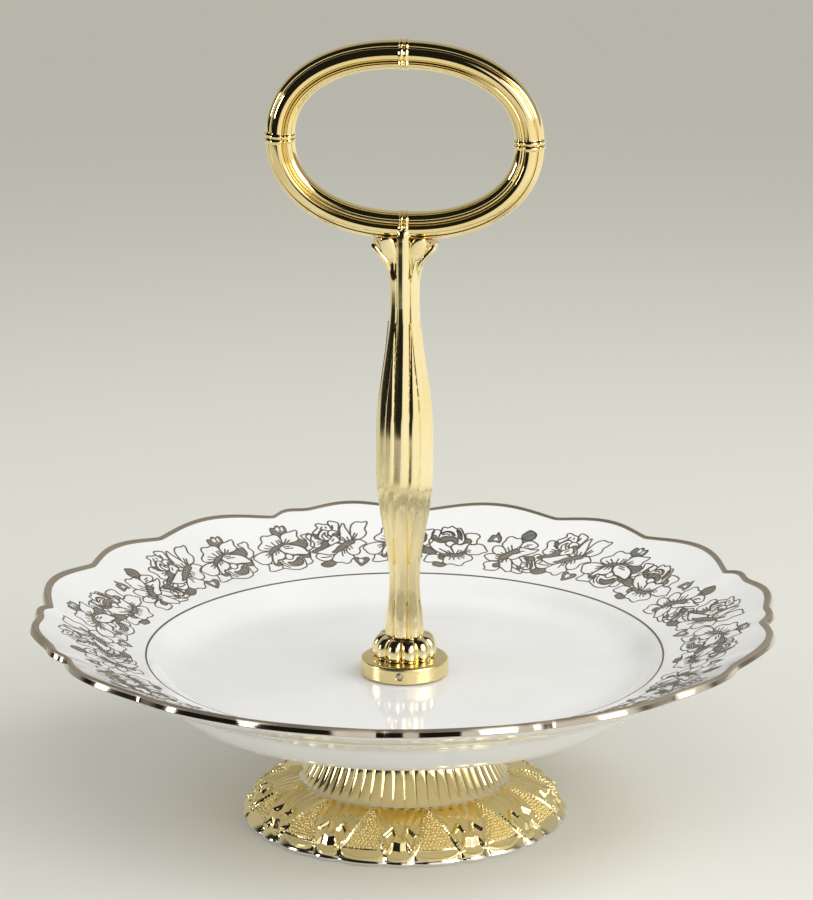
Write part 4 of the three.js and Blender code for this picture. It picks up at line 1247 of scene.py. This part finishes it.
def capital_line(line, line_radii, side, front):
    """A tube along one of the capital's lines, on one side, front or back."""
    path = smooth(line, 6)
    radii = np.interp(np.linspace(0, 1, len(path)), *line_radii)
    return tube(path * [side, front, 1] + [0, 0, RING_BOTTOM], radii)


def capital():
    """Straps front and back between pairs of tongues, with a leaf's rim at each side."""
    parts = []
    for front in (-1, 1):
        parts.append(capital_line(STRAP, STRAP_RADII, 1, front))
        for side in (-1, 1):
            parts.append(tongue(side, front))
            parts.append(capital_line(LEAF_RIM, LEAF_RIM_RADII, side, front))
    return parts


def stem():
    shape = joined([stem_body()] + capital())
    material = finish["cast_gold_plate"]
    make_piece("stem_casting", shape, "handle", material, ["stem"], crease=50)


# Collar and lock pin

PIN_HEIGHT = (PIN_LOW[2] + PIN_HIGH[2]) / 2
PIN_RADIUS = (PIN_HIGH[0] - PIN_LOW[0]) / 2
PIN_SEAT_RADIUS = 1.35
PIN_SEAT_TURN = 0.12
COLLAR_RADIUS = COLLAR_HIGH[0]
RECESS_RADIUS = 6.3
RECESS_DEPTH = 1.5


def pin_seat(radius, height, turn):
    """Sinks the collar's wall a little round the pin."""
    aside = np.hypot(radius * np.sin(turn), height - PIN_HEIGHT)
    in_front = (np.cos(turn) > 0) & (radius > COLLAR_RADIUS - 0.5)
    return radius - np.where(in_front, unit((PIN_SEAT_RADIUS - aside) / 0.25) * 0.5, 0), height


def collar():
    radius = COLLAR_RADIUS
    low, high = COLLAR_LOW[2], COLLAR_HIGH[2]
    wall = [low + 0.35, *np.linspace(low + 0.6, high - 1.3, 24)]
    top = [[radius, high - 1.2], [radius - 0.3, high - 0.4], [radius - 1.2, high]]
    outline = [[BORE_RADIUS, low], [radius - 0.35, low], [radius - 0.1, low + 0.1]]
    outline += [[radius, height] for height in wall] + smooth(top, 5).tolist()
    outline += [[radius - 2.5, high], [RECESS_RADIUS, high]]
    outline += [[RECESS_RADIUS, low + RECESS_DEPTH], [BORE_RADIUS, low + RECESS_DEPTH]]
    fine = np.linspace(-PIN_SEAT_TURN, PIN_SEAT_TURN, 49)
    coarse = np.linspace(PIN_SEAT_TURN, FULL_TURN - PIN_SEAT_TURN, 180)[1:-1]
    turns = np.concatenate([fine, coarse])
    material = finish["satin_gold_plate"]
    shape = turned(outline, turns, pin_seat)
    make_piece("collar_disc", shape, "handle", material, ["collar"], crease=50)


def lock_pin():
    """Screw whose slightly domed end shows in the collar."""
    front, back = PIN_LOW[1], PIN_HIGH[1]
    outline = [[0, back], [PIN_RADIUS, back], [PIN_RADIUS, front + 0.2]]
    outline += [[PIN_RADIUS - 0.2, front + 0.05], [0.4, front], [0, front]]
    radius, depth, turn = swept(outline, even_turns(32))
    points = np.stack([radius * np.cos(turn), depth, PIN_HEIGHT + radius * np.sin(turn)], -1)
    make_piece("lock_pin_screw", grid(points), "handle", zinc, ["lock_pin"])


# Rod and fasteners under the crown


def centre_rod():
    low, high, radius = ROD_LOW[2], ROD_HIGH[2], ROD_HIGH[0]
    heights = np.arange(low, high, THREAD_PITCH / 8)
    height, turn = np.meshgrid(heights, even_turns(40), indexing="ij")
    phase = np.mod(height / THREAD_PITCH - turn / FULL_TURN, 1)
    from_end = np.clip(np.minimum(height - low, high - height), 0, ROD_CHAMFER)
    threaded = radius - THREAD_DEPTH * np.abs(2 * phase - 1)
    threaded = np.minimum(threaded, radius - ROD_CHAMFER + from_end)
    shape = capped(around_z(threaded, height, turn), [0, 0, low], [0, 0, heights[-1]])
    make_piece("threaded_rod", shape, "root", zinc, ["centre_rod"])


def flat_washer():
    low, high, outer = WASHER_LOW[2], WASHER_HIGH[2], WASHER_HIGH[0]
    outline = [[BORE_RADIUS, low], [outer - 0.25, low], [outer, low + 0.25], [outer, high - 0.1]]
    shape = turned(outline + [[outer - 0.1, high], [BORE_RADIUS, high]], even_turns(96))
    make_piece("plain_washer", shape, "root", zinc, ["flat_washer"], crease=30)


def hex_nut():
    low, high = NUT_LOW[2], NUT_HIGH[2]
    flat_half = (NUT_HIGH[1] - NUT_LOW[1]) / 2
    turns = even_turns(96)
    from_flat = np.mod(turns - math.pi / 3, math.pi / 3) - math.pi / 6
    side = flat_half / np.cos(from_flat)
    face = flat_half * NUT_FACE_SHARE
    cut = (side - face) * math.tan(math.radians(30))
    rows = [(2.6, low + 0.3), (3.1, low), (face, low), (side, low + cut)]
    rows += [(side, high - cut), (face, high), (2.6, high)]
    points = [around_z(radius, height, turns) for radius, height in rows]
    shape = grid(np.array(points), close_rows=True)
    make_piece("nut", shape, "root", zinc, ["hex_nut"], crease=25)


def kept_frame_pieces():
    """Frame pieces whose shape is right keep it and get their material."""
    finishes = {
        "lower_gasket": "gasket_plastic",
        "upper_gasket": "gasket_plastic",
        "spring_washer": "zinc_plate",
        "ring_dowel": "zinc_plate",
    }
    for name, material in finishes.items():
        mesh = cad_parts[name].data
        mesh.materials.clear()
        mesh.materials.append(finish[material])


plate()
platinum_band()
well_line()
garland()
foot()
ring()
stem()
collar()
lock_pin()
centre_rod()
flat_washer()
hex_nut()
kept_frame_pieces()


# Camera, floor and light

CAMERA_TURN = math.radians(7)
CAMERA_PITCH = math.radians(16.33)
CAMERA_DISTANCE = 1.8
CAMERA_HEIGHT = 0.6542
SENSOR = 36.0
PICTURE_HEIGHT = 900
FOCAL_PIXELS = 5668
AXIS_LEFT_OF_CENTRE = 1.9
FLOOR_FADE_FROM = 0.25
FLOOR_FADE_TO = 1.2
MIRRORED_FLOOR_FROM = 0.2
MIRRORED_FLOOR_TO = 0.45
FLOOR_TONE = (0.745, 0.735, 0.675)
BACKDROP_TONE = (0.479, 0.467, 0.402)
ROOM_TONE = (0.012, 0.011, 0.01)
BACK_TONE = (0.46, 0.45, 0.41)
CARD_TONE = (1.0, 0.98, 0.92)
PAPER_LEFT = (0.66, 0.65, 0.605)
PAPER_RIGHT = (1.0, 0.99, 0.93)
AMBIENT_TONE = (0.56, 0.56, 0.55)
DARK_DROP = 0.13
CARD_TURN = math.radians(9)

# Parts of a direction sideways, backwards and upwards between which the tones
# of the world change
IN_FRONT = (0.15, -0.25)
ON_LEFT = (-0.04, -0.24)
BEHIND = (0.1, 0.5)
HORIZON = (-0.04, 0.02)
PAPER_SIDES = (-0.75, 0.55)
CARD_SIDE = (0.0, 0.1)
CARD_TOP = (0.65, 0.45)
CARD_BACK = (0.3, -0.1)

# Place, target, width, height, watts, and whether polished surfaces show it
LAMPS = {
    "key": ((1.5, -0.9, 0.95), (0, 0, 0.1), 1.1, 1.1, 14, True),
    "fill": ((-1.6, -0.5, 0.45), (0, 0, 0.05), 0.35, 0.5, 5, True),
    "left": ((-1.2, -1.2, 1.2), (0, 0, 0.1), 1.0, 1.0, 4, False),
    "side": ((1.5, 0.3, 1.6), (0, 0, 0.1), 1.2, 1.2, 12, False),
    "top": ((0.3, -1.1, 1.6), (0, 0, 0.1), 1.2, 1.2, 6, False),
}


def camera():
    data = bpy.data.cameras.new("camera")
    data.sensor_width = SENSOR
    data.lens = FOCAL_PIXELS * SENSOR / PICTURE_HEIGHT
    data.shift_x = AXIS_LEFT_OF_CENTRE / PICTURE_HEIGHT
    data.clip_end = 100
    eye = new_object("camera", data)
    x, y = CAMERA_DISTANCE * math.sin(CAMERA_TURN), -CAMERA_DISTANCE * math.cos(CAMERA_TURN)
    eye.location = (x, y, CAMERA_HEIGHT)
    eye.rotation_euler = (math.pi / 2 - CAMERA_PITCH, 0, CAMERA_TURN)
    bpy.context.scene.camera = eye


def floor_material():
    """Pale paper, clear from below, that fades into the backdrop's tone away
    from the object, sooner in reflections."""
    material, tree, sockets = new_material("floor_paper", FLOOR_TONE, 0.9, 0)
    feed(tree, sockets["Specular IOR Level"], 0.1)
    place = add_node(tree, "TexCoord").outputs["Object"]
    distance = add_node(tree, "VectorMath", {0: place}, operation="LENGTH").outputs["Value"]
    seen = eased_share(tree, distance, FLOOR_FADE_TO, FLOOR_FADE_FROM, "SMOOTHERSTEP")
    mirrored = eased_share(tree, distance, MIRRORED_FLOOR_TO, MIRRORED_FLOOR_FROM)
    in_gloss = add_node(tree, "LightPath").outputs["Is Glossy Ray"]
    shown = add_node(tree, "Mix", {"Factor": in_gloss, "A": seen, "B": mirrored})
    above = combined(tree, "SUBTRACT", 1, add_node(tree, "NewGeometry").outputs["Backfacing"])
    feed(tree, sockets["Alpha"], combined(tree, "MULTIPLY", shown.outputs["Result"], above))
    return material


def studio_floor():
    radius = FLOOR_FADE_TO / METRES
    outline = [[radius, 0], [radius / 2, 0], [0, 0]]
    mesh = new_mesh("studio_floor", grid(around_z(*swept(outline, even_turns(96)))))
    mesh.materials.append(floor_material())
    new_object("studio_floor", mesh)


def softbox(name, location, target, width, height, power, in_gloss):
    data = bpy.data.lights.new(name, "AREA")
    data.shape = "RECTANGLE"
    data.size = width
    data.size_y = height
    data.energy = power
    lamp = new_object(name, data)
    lamp.location = location
    x, y, z = np.subtract(target, location)
    lamp.rotation_euler = (math.atan2(math.hypot(x, y), -z), 0, math.atan2(y, x) - math.pi / 2)
    lamp.visible_glossy = in_gloss


def studio_world():
    """Pale paper below a horizon that drops in front and on the left. Above it,
    the room is dark in front, with pale paper behind and a low white card on
    the right."""
    world = bpy.data.worlds.new("studio")
    bpy.context.scene.world = world
    world.use_nodes = True
    tree = world.node_tree
    place = add_node(tree, "TexCoord").outputs["Generated"]
    split = add_node(tree, "SeparateXYZ", {"Vector": place})
    x, y, z = (split.outputs[axis] for axis in "XYZ")
    in_front = eased_share(tree, y, *IN_FRONT)
    on_left = eased_share(tree, x, *ON_LEFT)
    lifted = combined(tree, "MULTIPLY_ADD", in_front, DARK_DROP, z)
    lifted = combined(tree, "MULTIPLY_ADD", on_left, DARK_DROP, lifted)
    card_way = {0: place, 1: (math.cos(CARD_TURN), math.sin(CARD_TURN), 0)}
    right = add_node(tree, "VectorMath", card_way, operation="DOT_PRODUCT").outputs["Value"]
    low_right = (eased_share(tree, right, *CARD_SIDE), eased_share(tree, z, *CARD_TOP))
    card = combined(tree, "MULTIPLY", *low_right)
    card = combined(tree, "MULTIPLY", card, eased_share(tree, y, *CARD_BACK))
    paper = blended(tree, eased_share(tree, x, *PAPER_SIDES), PAPER_LEFT, PAPER_RIGHT)
    room = blended(tree, eased_share(tree, y, *BEHIND), ROOM_TONE, BACK_TONE)
    room = blended(tree, card, room, CARD_TONE)
    room = blended(tree, eased_share(tree, lifted, *HORIZON), paper, room)
    light_path = add_node(tree, "LightPath")
    seen = blended(tree, light_path.outputs["Is Glossy Ray"], AMBIENT_TONE, room)
    seen = blended(tree, light_path.outputs["Is Camera Ray"], seen, BACKDROP_TONE)
    feed(tree, tree.nodes["Background"].inputs["Color"], seen)


camera()
studio_floor()
studio_world()
for name, values in LAMPS.items():
    softbox(name, *values)
bpy.context.scene.view_settings.view_transform = "Standard"
